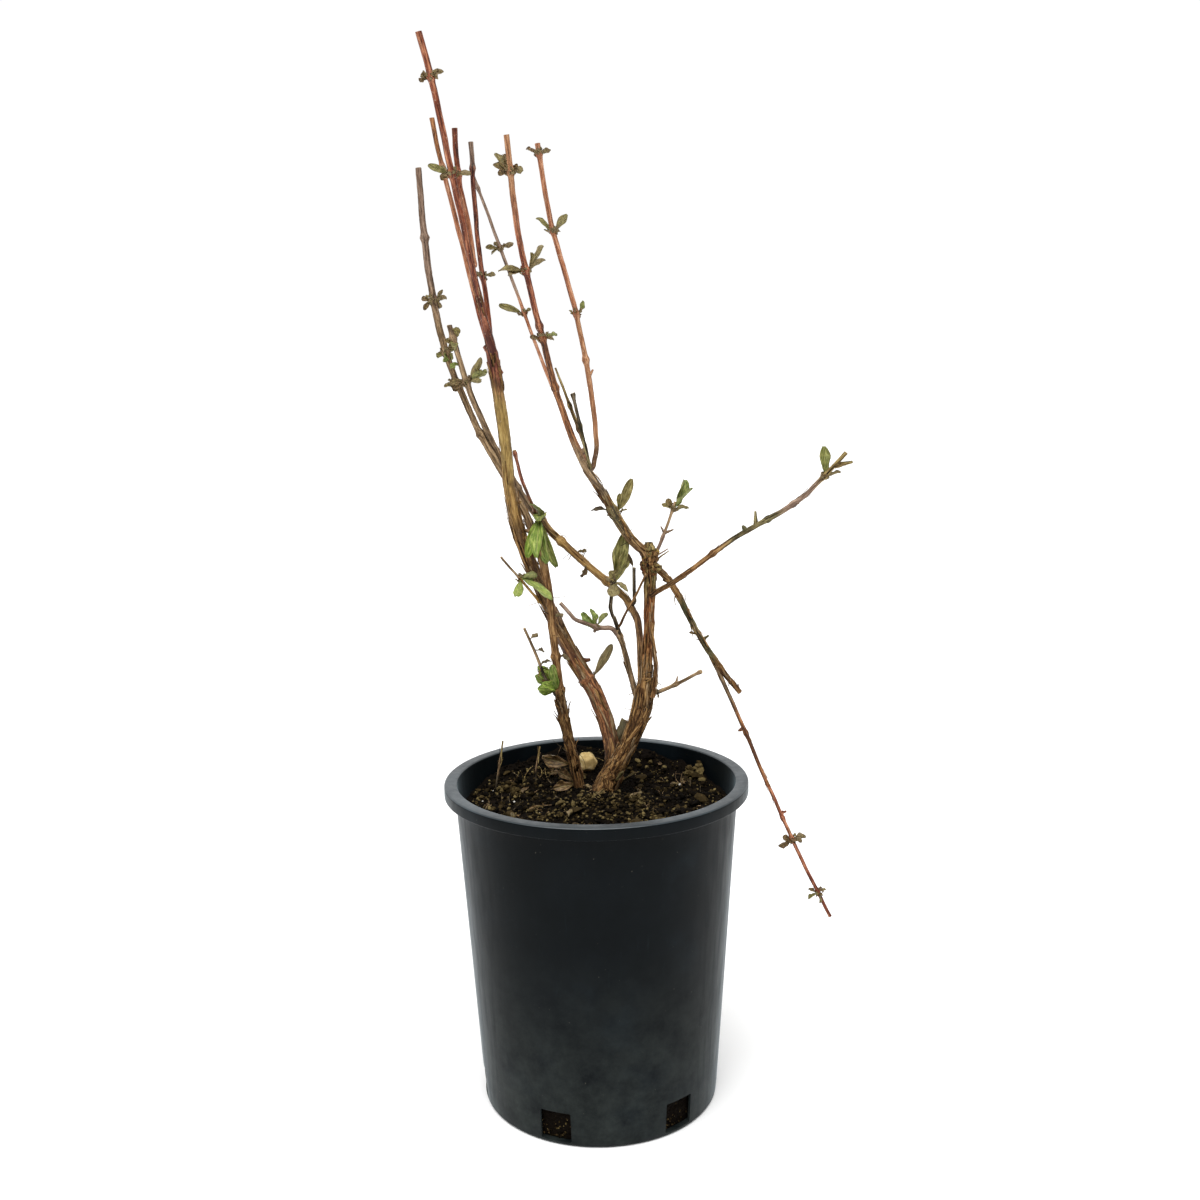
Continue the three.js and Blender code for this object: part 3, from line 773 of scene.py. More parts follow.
def add_snag(build, stem, place, heading, climb, length, radius):
    """A broken-off side twig: a rough tapering peg."""
    i, sides, steps = stem.along(place), 10, 7
    along = aim(heading, climb)
    side, up = across(along)
    seed = rng.uniform(0, 40)
    points, grain = [], []
    for k in range(steps + 1):
        t = k / steps
        middle = stem.axis[i] + along * (stem.radius[i] * 0.5 + length * t)
        middle += side * length * 0.08 * noise.noise(Vector((seed, t * 3, 0)))
        for c, s in circle(sides):
            rough = 1 + 0.3 * noise.noise(Vector((seed + c, s, t * 4)))
            r = radius * (1.3 - 0.75 * t) * rough
            points.append(middle + (side * c + up * s) * r)
            grain.append((seed + c * r, s * r, length * t))
    build.add(points, flipped(ring_faces(steps + 1, sides)), grain, place)


KNOB = {"spread": 13 * MM, "count": 110, "largest": 4.6 * MM}


def add_knob(build, stem, spread, count, largest):
    """A burl of rough lumps round a stem's top, with pale crumbs of old bark."""
    for k in range(count):
        i = len(stem.axis) - 1 - rng.randrange(round(spread / AXIS_STEP))
        out = stem.outward(i, rng.uniform(0, 2 * math.pi))
        size = largest * (1 if k < count // 4 else rng.uniform(0.2, 0.5))
        place = stem.axis[i] + out * (stem.radius[i] * 0.95 + (largest - size) * 0.3)
        add_crumb(build, place, (size, size * 0.8, size * 0.7), rng.random(), 0 if k % 4 else 3)


# Raised strands that wind up a stem: from and to, how many, thickest (mm), turns.
STRANDS = {
    "right_cane": (
        (0.0, 0.6, 16, 2.3, 0.5), (0.45, 0.98, 8, 1.2, 0.12), (0.0, 0.25, 10, 2.6, 0.3)),
    "main_cane": ((0.0, 0.3, 7, 1.5, 0.25), (0.25, 0.62, 5, 0.8, 0.1)),
    "left_cane": ((0.0, 0.22, 8, 1.3, 0.3), (0.2, 0.5, 4, 0.7, 0.15)),
    "drooping_branch": ((0.0, 0.9, 6, 0.7, 0.3),),
    "leaning_cane": ((0.0, 0.25, 6, 1.0, 0.2),),
    "diagonal_cane": ((0.0, 0.2, 5, 1.0, 0.2),),
}


def strand(build, stem, low, high, thick, turns):
    """A round-backed ridge half sunk in the bark, thin at both ends."""
    sides = 7
    start = stem.along(rng.uniform(low, low + 0.5 * (high - low)))
    stop = stem.along(rng.uniform(low + 0.6 * (high - low), high))
    angle, turn = rng.uniform(0, 2 * math.pi), rng.uniform(-1, 1) * turns * 2 * math.pi
    wander = rng.uniform(0, 60)
    points, grain, tint = [], [], []
    for i in range(start, stop + 1):
        t = (i - start) / max(stop - start, 1)
        here = angle + turn * t + 0.5 * noise.noise(Vector((wander, t * 5, 0)))
        out = stem.outward(i, here)
        wide = stem.tangent[i].cross(out)
        r = thick * (0.15 + 0.85 * math.sin(math.pi * t) ** 0.7)
        r *= 1 + 0.25 * noise.noise(Vector((wander, t * 23, 3)))
        middle = stem.axis[i] + out * (stem.radius[i] * 1.02 - 0.25 * r)
        for c, s in circle(sides):
            points.append(middle + (out * c * 0.75 + wide * s) * r)
            grain.append((wander + c * r, s * r, stem.run[i]))
            tint.append(i / (len(stem.axis) - 1))
    build.add(points, ring_faces(stop - start + 1, sides), grain, tint)


def make_stem(name):
    stem = stems[name]
    _, sides, rough, gloss, tones = STEMS[name]
    marks = [stem.run[stem.along(f)] for f in NODES.get(name, ())]
    marks += [stem.run[tuft_place(tuft)] for tuft, spec in TUFTS.items() if spec[0] == name]
    build = Build()
    rim = stem_skin(build, stem, sides, rough, marks)
    cut_end(build, stem, rim)
    for low, high, count, thick, turns in STRANDS.get(name, ()):
        for _ in range(count):
            strand(build, stem, low, high, thick * MM * rng.uniform(0.4, 1), turns)
    for place, heading, climb, length, radius in SNAGS.get(name, ()):
        add_snag(build, stem, place, heading, climb, length * MM, radius * MM)
    if name == "right_cane":
        add_knob(build, stem, **KNOB)
    for low, high, count, longest, widest, lift in PEELING.get(name, ()):
        for _ in range(count):
            flake(build, stem, stem.along(rng.uniform(low, high)), rng.uniform(0, 2 * math.pi),
                  rng.uniform(0.35, 1) * longest * MM, rng.uniform(0.3, 1) * widest * MM,
                  rng.random() ** 2 * lift * MM, rng.uniform(-0.5, 0.5), 2)
    skin = bark("bark_" + name, tones, 0.5 + 4 * rough, gloss, 0.5 if gloss < 0.6 else 0.2)
    piece = build.finish(name + "_wood", [skin, CUT_WOOD, PEELED, CRUMBLED])
    stand_for(piece, name)


# ---- Leaves and buds -----------------------------------------------------------------

LEAF_THICK = 0.28 * MM
ARCHED = {"big_green_leaves": 2.9}  # tufts whose leaves bend right over

# Tuft: its stem, its leaves and the number of bud scales round the node. A leaf is
# (heading, climb, length mm, width mm, roll degrees, tint). LEAF_TONES gives the tints.
TUFTS = {
    "tall_shoot_tip_leaves": ("tall_shoot", (
        (180, -25, 4.5, 3.6, 70, -0.2), (0, 25, 5.5, 3.2, 60, -0.15), (30, 55, 4.5, 2.6, 60, -0.2),
        (200, 10, 3.5, 3.4, 80, -0.3), (330, -10, 3.5, 3.4, 80, -0.2)), 12),
    "tall_shoot_leaves": ("tall_shoot", (
        (180, 28, 12, 4.5, 60, 0.3), (0, 0, 8, 4, 60, -0.1), (200, 50, 6, 3, 50, -0.1),
        (180, -10, 5, 4, 70, -0.2)), 11),
    "dark_red_shoot_leaves": ("dark_red_shoot", (
        (0, 12, 5.5, 3.4, 60, 0.0), (180, 10, 4, 2.5, 60, -0.2)), 6),
    "left_cane_bud": ("left_cane", (
        (185, 5, 6, 4, 60, 0.0), (210, 40, 5, 3.6, 50, -0.1), (250, -40, 5, 4, 60, -0.2)), 12),
    "left_cane_scales": ("left_cane", (
        (10, 60, 6.5, 3, 60, -0.1), (180, 20, 5, 3.4, 60, -0.2), (0, 20, 6, 3.6, 60, -0.2),
        (200, -50, 6, 4, 60, -0.3), (340, -60, 5, 4, 60, -0.2)), 18),
    "left_cane_upper_bud": ("left_cane", (
        (20, 60, 8, 5, 60, 0.3), (0, 30, 6, 4.5, 60, 0.5), (200, -30, 4, 4, 60, 0.3),
        (270, -50, 6, 5, 60, 0.8), (330, -60, 5, 4, 60, 0.5)), 12),
    "diagonal_cane_leaves": ("diagonal_cane", (
        (10, 62, 14, 5, 70, 0.1), (0, 30, 11, 6, 60, 0.6), (-20, 5, 8, 4, 60, 0.2),
        (180, 10, 8, 5, 60, -0.1), (20, 40, 9, 5, 50, 0.4), (190, -20, 6, 4, 60, -0.2)), 12),
    "leaning_cane_leaves_low": ("leaning_cane", (
        (180, 15, 5, 3, 60, -0.2), (0, 18, 6.5, 3.6, 60, 0.7), (0, -5, 5, 3, 60, -0.2)), 9),
    "leaning_cane_leaves_mid": ("leaning_cane", (
        (180, 12, 13, 5.5, 65, 0.15), (180, -12, 8, 5, 65, -0.1), (0, 58, 14, 5, 70, 0.0),
        (0, 40, 10, 4, 55, -0.1), (0, 75, 9, 4, 60, 0.1)), 10),
    "leaning_cane_leaves_top": ("leaning_cane", (
        (170, 55, 11, 4.5, 60, 0.1), (180, 30, 8, 4.5, 60, -0.1), (0, 10, 5, 4, 60, 0.0),
        (180, -10, 5, 4, 60, -0.2), (150, 75, 9, 4, 60, -0.1)), 16),
    "thin_shoot_leaves_low": ("thin_shoot", (
        (180, 22, 13, 4.5, 65, 0.25), (0, 35, 3.5, 2, 60, 0.1)), 5),
    "thin_shoot_leaves_top": ("thin_shoot", (
        (180, 8, 7, 3.4, 60, 0.1), (180, -35, 5, 3, 60, 0.2), (0, 18, 6.5, 3.4, 60, -0.2)), 9),
    "upright_shoot_leaves_low": ("upright_shoot", (
        (0, 66, 7, 3.4, 60, 0.55), (180, 45, 3.5, 2, 60, 0.2)), 5),
    "upright_shoot_leaves_mid": ("upright_shoot", (
        (180, 46, 10, 4.5, 65, 0.3), (0, 52, 10, 4.5, 65, 0.25)), 10),
    "upright_shoot_leaves_top": ("upright_shoot", (
        (180, 32, 6, 3.4, 60, -0.2), (0, 20, 5, 3.4, 60, -0.2), (270, 20, 4, 4, 60, -0.3)), 12),
    "rising_branch_leaf": ("rising_branch", (
        (80, 84, 15, 6.5, 75, 0.5), (0, 25, 8, 3, 55, -0.1), (20, 60, 6, 3, 50, 0.3)), 6),
    "leaning_cane_spur_leaf": ("leaning_cane", (
        (0, 66, 19, 7, 75, 0.2), (10, 78, 10, 5, 60, 0.25), (0, 20, 5, 2, 60, 0.1)), 5),
    "slender_shoot_leaf": ("slender_shoot", (
        (10, 66, 17, 7.5, 70, 0.65), (0, 52, 15, 6, 45, 1.0), (180, 25, 6, 3.4, 60, 0.1),
        (0, 10, 8, 4, 60, 0.2), (150, 60, 6, 4, 60, -0.1)), 10),
    "big_green_leaves": ("diagonal_cane", (
        (266, -8, 33, 8.5, 6, 1.1), (272, -20, 31, 7.5, -15, 0.6), (266, -5, 27, 8.5, 12, 1.3),
        (268, -30, 28, 7.5, -5, 0.9), (275, 50, 13, 8, 10, 0.7), (270, 75, 13, 7, -15, 0.8)), 5),
    "upper_spur_leaves": ("upper_spur", (
        (0, 12, 9, 6, 70, 0.7), (250, -78, 10, 6, 75, 1.4), (-10, -26, 22, 5.5, 70, 1.5),
        (20, -10, 7, 4, 60, 1.2)), 4),
    "left_reach_leaves": ("left_reach", (
        (150, 40, 12, 5, 70, 1.0), (120, 66, 11, 4.5, 70, 0.8), (0, 50, 9, 4, 60, 0.7),
        (180, 25, 7, 4, 60, 0.9)), 4),
    "dark_twig_leaf": ("dark_twig", (
        (10, 78, 26, 10, 80, 0.35), (0, 68, 17, 8, 60, 0.3), (-20, -30, 9, 4, 60, 0.1),
        (270, -80, 8, 8, 80, 0.1), (250, 60, 7, 8, 80, 0.1)), 6),
    "main_cane_spur_leaf": ("main_cane", (
        (0, 60, 22, 6, 84, -0.05), (0, 55, 9, 2.2, 70, -0.3)), 5),
    "left_cane_leaf_cluster": ("left_cane", (
        (200, 62, 17, 8, 75, 1.3), (185, 44, 14, 7, 60, 0.9), (215, 20, 11, 6, 60, 1.1),
        (240, 74, 16, 8, 90, 0.9), (195, 5, 9, 5, 60, 1.2), (230, 35, 12, 7, 30, 1.2)), 6),
    "drooping_shoot_leaves": ("drooping_shoot", (
        (190, -28, 8, 4.5, 70, -0.2), (10, 12, 7, 4.5, 70, -0.2), (180, 20, 5, 4, 80, -0.3),
        (0, -20, 5, 4, 80, -0.2), (270, 20, 5, 4, 30, -0.3)), 10),
    "drooping_shoot_tip_leaves": ("drooping_shoot", (
        (190, -30, 6, 3.6, 60, 0.3), (170, 30, 5, 3, 50, -0.1), (10, 20, 4, 2.4, 60, 0.1),
        (300, -60, 6, 3.4, 70, 0.2)), 9),
}


def tuft_place(tuft):
    """Index on the stem where the tuft's CAD ring sits."""
    stem = stems[TUFTS[tuft][0]]
    near = []
    for vertex in frame["nodes"][tuft].data.vertices:
        i = stem.nearest(vertex.co)
        if (vertex.co - stem.axis[i]).length < stem.radius[i] + 2.4 * MM:
            near.append(i)
    return round(sum(near) / len(near))


def leaf_outline(t):
    """Half width of a blunt oval blade on a short stalk, as a share of the widest."""
    stalk = 0.1
    if t < stalk:
        return 0.14
    blade = (t - stalk) / (1 - stalk)
    return 0.16 + 0.84 * math.sin(math.pi * min(blade, 0.99) ** 1.25) ** 0.62


def add_leaf(build, root, along, length, width, roll, tint, curl=0.7, fold=0.5, crinkle=1.0,
             slot=0):
    """A closed leaf blade, folded along its midrib, arched, twisted and crinkled."""
    steps, halves = 12, 4
    side, normal = across(along)
    turn = math.radians(roll)
    side, normal = (side * math.cos(turn) + normal * math.sin(turn),
                    normal * math.cos(turn) - side * math.sin(turn))
    wave = rng.uniform(0, 40)
    bend = curl * rng.uniform(0.4, 1.3)
    twist = rng.uniform(-0.7, 0.7) * crinkle / steps
    centre, heading = root.copy(), along.copy()
    columns = 2 * halves + 1
    upper, lower, grain = [], [], []
    for i in range(steps + 1):
        t = i / steps
        side, normal = side + normal * twist, normal - side * twist
        for j in range(-halves, halves + 1):
            v = j / halves
            lobe = noise.noise(Vector((wave, t * 3.4, math.copysign(3, v))))
            half = 0.5 * width * leaf_outline(t) * (1 + 0.22 * crinkle * lobe)
            ripple = (noise.noise(Vector((wave + t * 4.5, v * 1.6, 5)))
                      * 0.3 * crinkle * width * abs(v))
            spot = (centre + side * half * v * math.cos(fold * abs(v))
                    + normal * (half * abs(v) * math.sin(fold) + ripple))
            thick = normal * (0.5 * LEAF_THICK * (1 - 0.5 * v * v))
            upper.append(spot + thick)
            lower.append(spot - thick)
            grain.append((t, v))
        heading = (heading - normal * (bend / steps) * 0.5).normalized()
        square = side.cross(heading)
        normal = square.normalized() * (1 if square.dot(normal) > 0 else -1)
        centre = centre + heading * (length / steps)
    total = len(upper)
    faces = []
    for i in range(steps):
        for j in range(columns - 1):
            a = i * columns + j
            b, c, d = a + 1, a + columns + 1, a + columns
            faces += [(a, b, c, d), (total + a, total + d, total + c, total + b)]
        low, high = i * columns, (i + 1) * columns
        faces.append((low, high, total + high, total + low))
        low, high = low + columns - 1, high + columns - 1
        faces.append((low, total + low, total + high, high))
    last = steps * columns
    for j in range(columns - 1):
        faces.append((j, total + j, total + j + 1, j + 1))
        faces.append((last + j, last + j + 1, total + last + j + 1, total + last + j))
    grains = [(t, v, 1) for t, v in grain] + [(t, v, 0) for t, v in grain]
    build.add(upper + lower, faces, grains, tint, slot)


def make_tuft(name):
    stem_name, leaves, scales = TUFTS[name]
    stem = stems[stem_name]
    i = tuft_place(name)
    centre, radius = stem.axis[i], stem.radius[i]
    build = Build()
    for heading, climb, length, width, roll, tint in leaves:
        along = aim(heading, climb)
        level = aim(heading, 0)
        level = (level - stem.tangent[i] * level.dot(stem.tangent[i])).normalized()
        root = centre + level * radius * 0.95
        add_leaf(build, root, along, length * MM, width * MM, roll + rng.uniform(-12, 12), tint,
                 curl=ARCHED.get(name, rng.uniform(0.3, 1.0)), fold=rng.uniform(0.35, 0.8))
    for k in range(scales):  # bud scales, every third one spread wide
        out = stem.outward(i, 2 * math.pi * (k + rng.uniform(-0.3, 0.3)) / scales)
        spread = rng.uniform(0.35, 1.1) if k % 3 else rng.uniform(1.2, 2.2)
        shift = stem.tangent[i] * rng.uniform(-2.2, 0.4) * MM
        root = centre + shift + out * radius * 1.1
        along = (out * spread + stem.tangent[i]).normalized()
        add_leaf(build, root, along, rng.uniform(2.0, 4.2) * MM, rng.uniform(1.5, 2.8) * MM,
                 rng.uniform(-30, 30), rng.uniform(-0.7, 0.05), curl=-0.8, fold=0.5, crinkle=1.6)
    for _ in range(4):  # lumps of the swollen node
        out = stem.outward(i, rng.uniform(0, 2 * math.pi))
        size = rng.uniform(1.2, 2.1) * MM
        lump = centre + out * radius * 0.9 + stem.tangent[i] * rng.uniform(-1, 1) * MM
        add_crumb(build, lump, (size, size * 0.8, size * 0.8), rng.uniform(0.5, 1), 1)
    piece = build.finish(name + "_blades", [LEAF, WITHERED])
    stand_for(piece, name)


# ---- Pot -----------------------------------------------------------------------------

POT_SEGMENTS = 216
NECK_SHARE, FOOT_SHARE = 0.9285, 0.788  # radii under the lip and at the foot, over the rim's
RIM_ROUND = 1.1 * MM
LIP_ROUND = 0.6 * MM
FOOT_ROUND = 2 * MM
WALL = 1.5 * MM
HOLLOW = 0.6 * MM  # how far the middle of the underside is raised
LIP_HEIGHT = 6.5 * MM
FLANGE = 7 * MM  # how far the rim's top reaches in
HOLES = {"count": 6, "first": -21.5, "width": 17 * MM, "height": 17 * MM, "sill": 2.2 * MM}


def arc(centre_r, centre_z, radius, start, end, steps=6):
    """Outline points on an arc; angles in degrees from outward to up."""
    angles = [math.radians(start + (end - start) * k / steps) for k in range(steps + 1)]
    return [(centre_r + radius * math.cos(a), centre_z + radius * math.sin(a)) for a in angles]


def pot_outline():
    """Radius and height from the underside, up the outside and down the inside to the floor."""
    low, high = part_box("pot")
    rim, top = (high.x - low.x) / 2, high.z
    lip_bottom = top - LIP_HEIGHT
    neck, foot = rim * NECK_SHARE, rim * FOOT_SHARE
    inner = rim - FLANGE
    slope = (neck - foot) / lip_bottom
    outline = [(0, HOLLOW), (foot - 9 * MM, HOLLOW), (foot - 8 * MM, 0.0)]
    outline += arc(foot - FOOT_ROUND, FOOT_ROUND, FOOT_ROUND, -90, 0)
    outline += [(foot + slope * z, z) for z in np.linspace(6 * MM, lip_bottom - 2 * MM, 26)]
    outline += [(neck + 0.2 * MM, lip_bottom - 0.7 * MM), (neck + 0.9 * MM, lip_bottom - 0.1 * MM)]
    outline += arc(rim - LIP_ROUND, lip_bottom + LIP_ROUND, LIP_ROUND, -90, 0, 4)
    outline += arc(rim - RIM_ROUND, top - RIM_ROUND, RIM_ROUND, 0, 90)
    outline += arc(inner + RIM_ROUND, top - RIM_ROUND, RIM_ROUND, 90, 180)
    outline += [(neck - WALL, lip_bottom - 2 * MM)]
    outline += [(foot - WALL + slope * z, z) for z in np.linspace(lip_bottom - 8 * MM, 4 * MM, 14)]
    outline += [(foot - WALL - 1 * MM, WALL + HOLLOW), (0, WALL + HOLLOW)]
    return outline, foot


def lathe_points(outline, segments):
    """Corners and faces of an outline that starts and ends on the axis."""
    rings, turn = outline[1:-1], circle(segments)
    points = [Vector((r * c, r * s, z)) for r, z in rings for c, s in turn]
    faces = ring_faces(len(rings), segments, False)
    points += [Vector((0, 0, outline[0][1])), Vector((0, 0, outline[-1][1]))]
    last = (len(rings) - 1) * segments
    for j in range(segments):
        k = (j + 1) % segments
        faces.append((k, j, len(points) - 2))
        faces.append((last + j, last + k, len(points) - 1))
    return points, faces


def hole_cutter(index, foot):
    """A wedge with slightly rounded corners that cuts one drainage hole."""
    angle = math.radians(HOLES["first"] + 360 / HOLES["count"] * index)
    out = Vector((math.sin(angle), -math.cos(angle), 0))
    wide = Vector((math.cos(angle), math.sin(angle), 0))
    half, tall, corner = HOLES["width"] / 2, HOLES["height"], 0.8 * MM
    middle = HOLES["sill"] + tall / 2
    loop = []
    for sx, sz, start in ((1, 1, 0), (-1, 1, 90), (-1, -1, 180), (1, -1, 270)):
        centre = (sx * (half - corner), sz * (tall / 2 - corner))
        loop += arc(centre[0], centre[1], corner, start, start + 90, 3)
    points = []
    for reach in (foot - 12 * MM, foot + 12 * MM):
        points += [out * reach + wide * x + UP * (middle + z) for x, z in loop]
    build = Build()
    build.add(points, ring_faces(2, len(loop)))
    return build.finish("hole_cutter", [])


def apply_modifiers(piece):
    graph = bpy.context.evaluated_depsgraph_get()
    mesh = bpy.data.meshes.new_from_object(piece.evaluated_get(graph))
    piece.modifiers.clear()
    piece.data = mesh


def make_pot():
    outline, foot = pot_outline()
    build = Build()
    points, faces = lathe_points(outline, POT_SEGMENTS)
    build.add(points, faces)
    piece = build.finish("nursery_pot", [
        pot_plastic("pot_plastic", 0.07, 0.4, ("#04080a", "#080d10", "#0e1519")),
        # A lighter copy of the same plastic: painted highlight for the flange's top.
        pot_plastic("rim_plastic_painted_highlight", 0.5, 0.35, ("#1c2428", "#262f34", "#343e43"))])
    cutters = [hole_cutter(k, foot) for k in range(HOLES["count"])]
    for cutter in cutters:
        cut = piece.modifiers.new("drain", "BOOLEAN")
        cut.object, cut.operation, cut.solver = cutter, "DIFFERENCE", "EXACT"
    apply_modifiers(piece)
    for cutter in cutters:
        bpy.data.objects.remove(cutter)
    low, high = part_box("pot")
    inside = (high.x - low.x) / 2 - FLANGE - 0.5 * MM
    # Faces looking up on the flange get the shinier plastic, lighter as a painted highlight.
    for face in piece.data.polygons:
        face.material_index = int(face.normal.z > 0.4 and face.center.xy.length > inside)
    piece.data.shade_smooth()
    piece.data.set_sharp_from_angle(angle=math.radians(35))
    stand_for(piece, "pot")


# ---- Soil ----------------------------------------------------------------------------

SOIL_RINGS, SOIL_SECTORS = 74, 230
SOIL_BANK = 9 * MM  # how much higher the soil is at the back than at the stems
SOIL_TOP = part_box("soil")[1].z - SOIL_BANK
SOIL_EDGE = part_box("soil")[1].x - 0.2 * MM
MOUND = {"x": 2, "y": -6, "height": 3.5, "spread": 420}  # in mm; the spread is squared
cad_soil = frame["nodes"]["soil"].data
SOIL_TREE = BVHTree.FromPolygons([corner.co.copy() for corner in cad_soil.vertices],
                                 [tuple(face.vertices) for face in cad_soil.polygons])


def soil_level(x, y):
    """Height of the CAD soil under a point, with clods and crumbs added."""
    radius = math.hypot(x, y)
    reach = min(radius, SOIL_EDGE - 1.5 * MM) / max(radius, 1e-6)
    hit = SOIL_TREE.ray_cast(Vector((x * reach, y * reach, 0.3)), -UP)[0]
    level = hit.z if hit and hit.z > SOIL_TOP - 8 * MM else SOIL_TOP - 1 * MM
    p = Vector((x, y, 0)) / MM
    clods = noise.fractal(p * 0.09, 0.8, 2.1, 4) * 2.2
    crumbs = noise.fractal(p * 0.45 + Vector((7, 3, 1)), 0.9, 2.2, 3) * 0.9
    away = (p.x - MOUND["x"]) ** 2 + (p.y - MOUND["y"]) ** 2
    mound = MOUND["height"] * math.exp(-away / MOUND["spread"])
    return level + (clods + crumbs + mound - 0.6) * MM


def soil_body():
    """The root ball: a rough top with side and floor that show through the drainage holes."""
    build = Build()
    points = [Vector((0, 0, soil_level(0, 0)))]
    for i in range(1, SOIL_RINGS + 1):
        r = SOIL_EDGE * i / SOIL_RINGS
        for c, s in circle(SOIL_SECTORS):
            points.append(Vector((r * c, r * s, soil_level(r * c, r * s))))
    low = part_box("soil")[0].z
    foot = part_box("pot")[1].x * FOOT_SHARE - WALL - 0.9 * MM
    # Wide rings down the hidden side, then close ones where the drainage holes are.
    for t in [*np.linspace(0.04, 0.84, 12), *np.linspace(0.855, 1, 28)]:
        z = SOIL_TOP - 3 * MM + (low - SOIL_TOP + 3 * MM) * t
        r = SOIL_EDGE + (foot - SOIL_EDGE) * t
        for c, s in circle(SOIL_SECTORS):
            rough = noise.fractal(Vector((c * 30, s * 30, z * 500)), 0.9, 2.1, 3)
            dent = 0.9 * MM * (rough - 1)
            points.append(Vector(((r + dent) * c, (r + dent) * s, z)))
    faces = [(0, 1 + j, 1 + (j + 1) % SOIL_SECTORS) for j in range(SOIL_SECTORS)]
    rings = ring_faces((len(points) - 1) // SOIL_SECTORS, SOIL_SECTORS, False)
    faces += flipped([[i + 1 for i in face] for face in rings])
    faces += flipped([range(len(points) - SOIL_SECTORS, len(points))])
    build.add(points, faces, tint=0.35)
    return build


# A lump with twenty faces: its corners follow from the golden ratio.
GOLD = 1.618
ICO_POINTS = [Vector(p).normalized() for p in (
    (0, 1, GOLD), (0, -1, GOLD), (0, 1, -GOLD), (0, -1, -GOLD),
    (1, GOLD, 0), (-1, GOLD, 0), (1, -GOLD, 0), (-1, -GOLD, 0),
    (GOLD, 0, 1), (GOLD, 0, -1), (-GOLD, 0, 1), (-GOLD, 0, -1))]
ICO_FACES = [(0, 1, 8), (0, 10, 1), (0, 8, 4), (0, 4, 5), (0, 5, 10), (1, 10, 7), (1, 7, 6),
             (1, 6, 8), (2, 9, 3), (2, 3, 11), (2, 5, 4), (2, 4, 9), (2, 11, 5), (3, 9, 6),
             (3, 6, 7), (3, 7, 11), (4, 8, 9), (5, 11, 10), (6, 9, 8), (7, 10, 11)]


def add_crumb(build, centre, size, tint, slot=0):
    """One irregular grain with three different side lengths."""
    along = aim(rng.uniform(0, 360), rng.uniform(-30, 30))
    side, up = across(along)
    points = []
    for p in ICO_POINTS:
        jag = rng.uniform(0.7, 1.25)
        corner = along * p.x * size[0] + side * p.y * size[1] - up * p.z * size[2]
        points.append(centre + corner * 0.5 * jag)
    build.add(points, ICO_FACES, tint=tint, slot=slot)


CRUMBS_PER_HOLE = 150


def crumbs_in_holes(build):
    """Loose grains that show in the drainage holes."""
    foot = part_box("pot")[1].x * FOOT_SHARE - WALL - 1.6 * MM
    for index in range(HOLES["count"] * CRUMBS_PER_HOLE):
        angle = math.radians(HOLES["first"] + 360 / HOLES["count"] * (index % HOLES["count"]))
        angle += rng.uniform(-0.15, 0.15)
        spot = Vector((math.sin(angle) * foot, -math.cos(angle) * foot, rng.uniform(2.5, 19) * MM))
        size = rng.uniform(0.5, 2.0) * MM
        tint, slot = rng.random() * 0.8, rng.choice((0, 0, 0, 1))
        add_crumb(build, spot, (size, size * 0.7, size * 0.7), tint, slot)


def spot_on_soil(margin):
    """A random place on the soil, at least a margin away from the pot's wall."""
    radius = (SOIL_EDGE - margin) * math.sqrt(rng.random())
    angle = rng.uniform(0, 2 * math.pi)
    x, y = radius * math.cos(angle), radius * math.sin(angle)
    return Vector((x, y, soil_level(x, y)))


def add_fibre(build, start, along, length, radius, tint, slot=0, sides=4, steps=8, curly=0.22):
    """A thin bent root or stalk."""
    heading = along.copy()
    centre = start.copy()
    points = []
    wander = Vector([rng.uniform(-1, 1) for _ in range(3)]) * curly
    for i in range(steps + 1):
        side, up = across(heading)
        for c, s in circle(sides):
            points.append(centre + (side * c + up * s) * radius * (1 - 0.4 * i / steps))
        heading = (heading + wander).normalized()
        centre = centre + heading * (length / steps)
    grain = [(p.x, p.y, k // sides * length / steps) for k, p in enumerate(points)]
    build.add(points, flipped(ring_faces(steps + 1, sides)), grain, tint, slot)


# Loose matter on the soil: how many, smallest and largest size in mm, flatness, tint, slot.
LITTER = (
    (3600, 0.6, 1.9, 0.8, (0.0, 0.45), 0),
    (1400, 1.2, 3.2, 0.7, (0.05, 0.6), 0),
    (260, 3.0, 6.5, 0.6, (0.1, 0.5), 0),
    (2600, 0.6, 2.6, 0.7, (0.0, 0.9), 1),
    (420, 2.0, 5.0, 0.6, (0.0, 0.8), 1),
    (46, 5.0, 10.0, 0.4, (0.1, 0.6), 1),
    (26, 0.8, 2.0, 0.9, (0.2, 1.0), 2),
)
LEAVES_ON_SOIL, ROOTS_ON_SOIL, STRAWS_AT_BACK = 34, 110, 9

# Pale clods that stand out of the soil: x, y, breadth and height in mm.
CLODS = ((57, 38, 12, 8), (-50, 22, 11, 6), (-43, 14, 9, 5), (20, -12, 9, 7), (31, -30, 8, 4))
CHIPS_PER_CLOD, CHIPS_ON_MOUND = 26, 620


def add_chip(build, spot, lift, size, tint):
    """A pale chip of bark on the soil."""
    spot.z = soil_level(spot.x, spot.y) + lift
    add_crumb(build, spot, (size, size * 0.8, size * 0.6), tint, 1)


def add_clods(build):
    for x, y, breadth, height in CLODS:
        for _ in range(CHIPS_PER_CLOD):
            dx, dy = rng.gauss(0, 0.24) * breadth, rng.gauss(0, 0.2) * breadth
            add_chip(build, Vector(((x + dx) * MM, (y + dy) * MM, 0)),
                     rng.uniform(0, 0.6) * height * MM, rng.uniform(0.15, 0.5) * breadth * MM,
                     rng.uniform(0.2, 0.75))


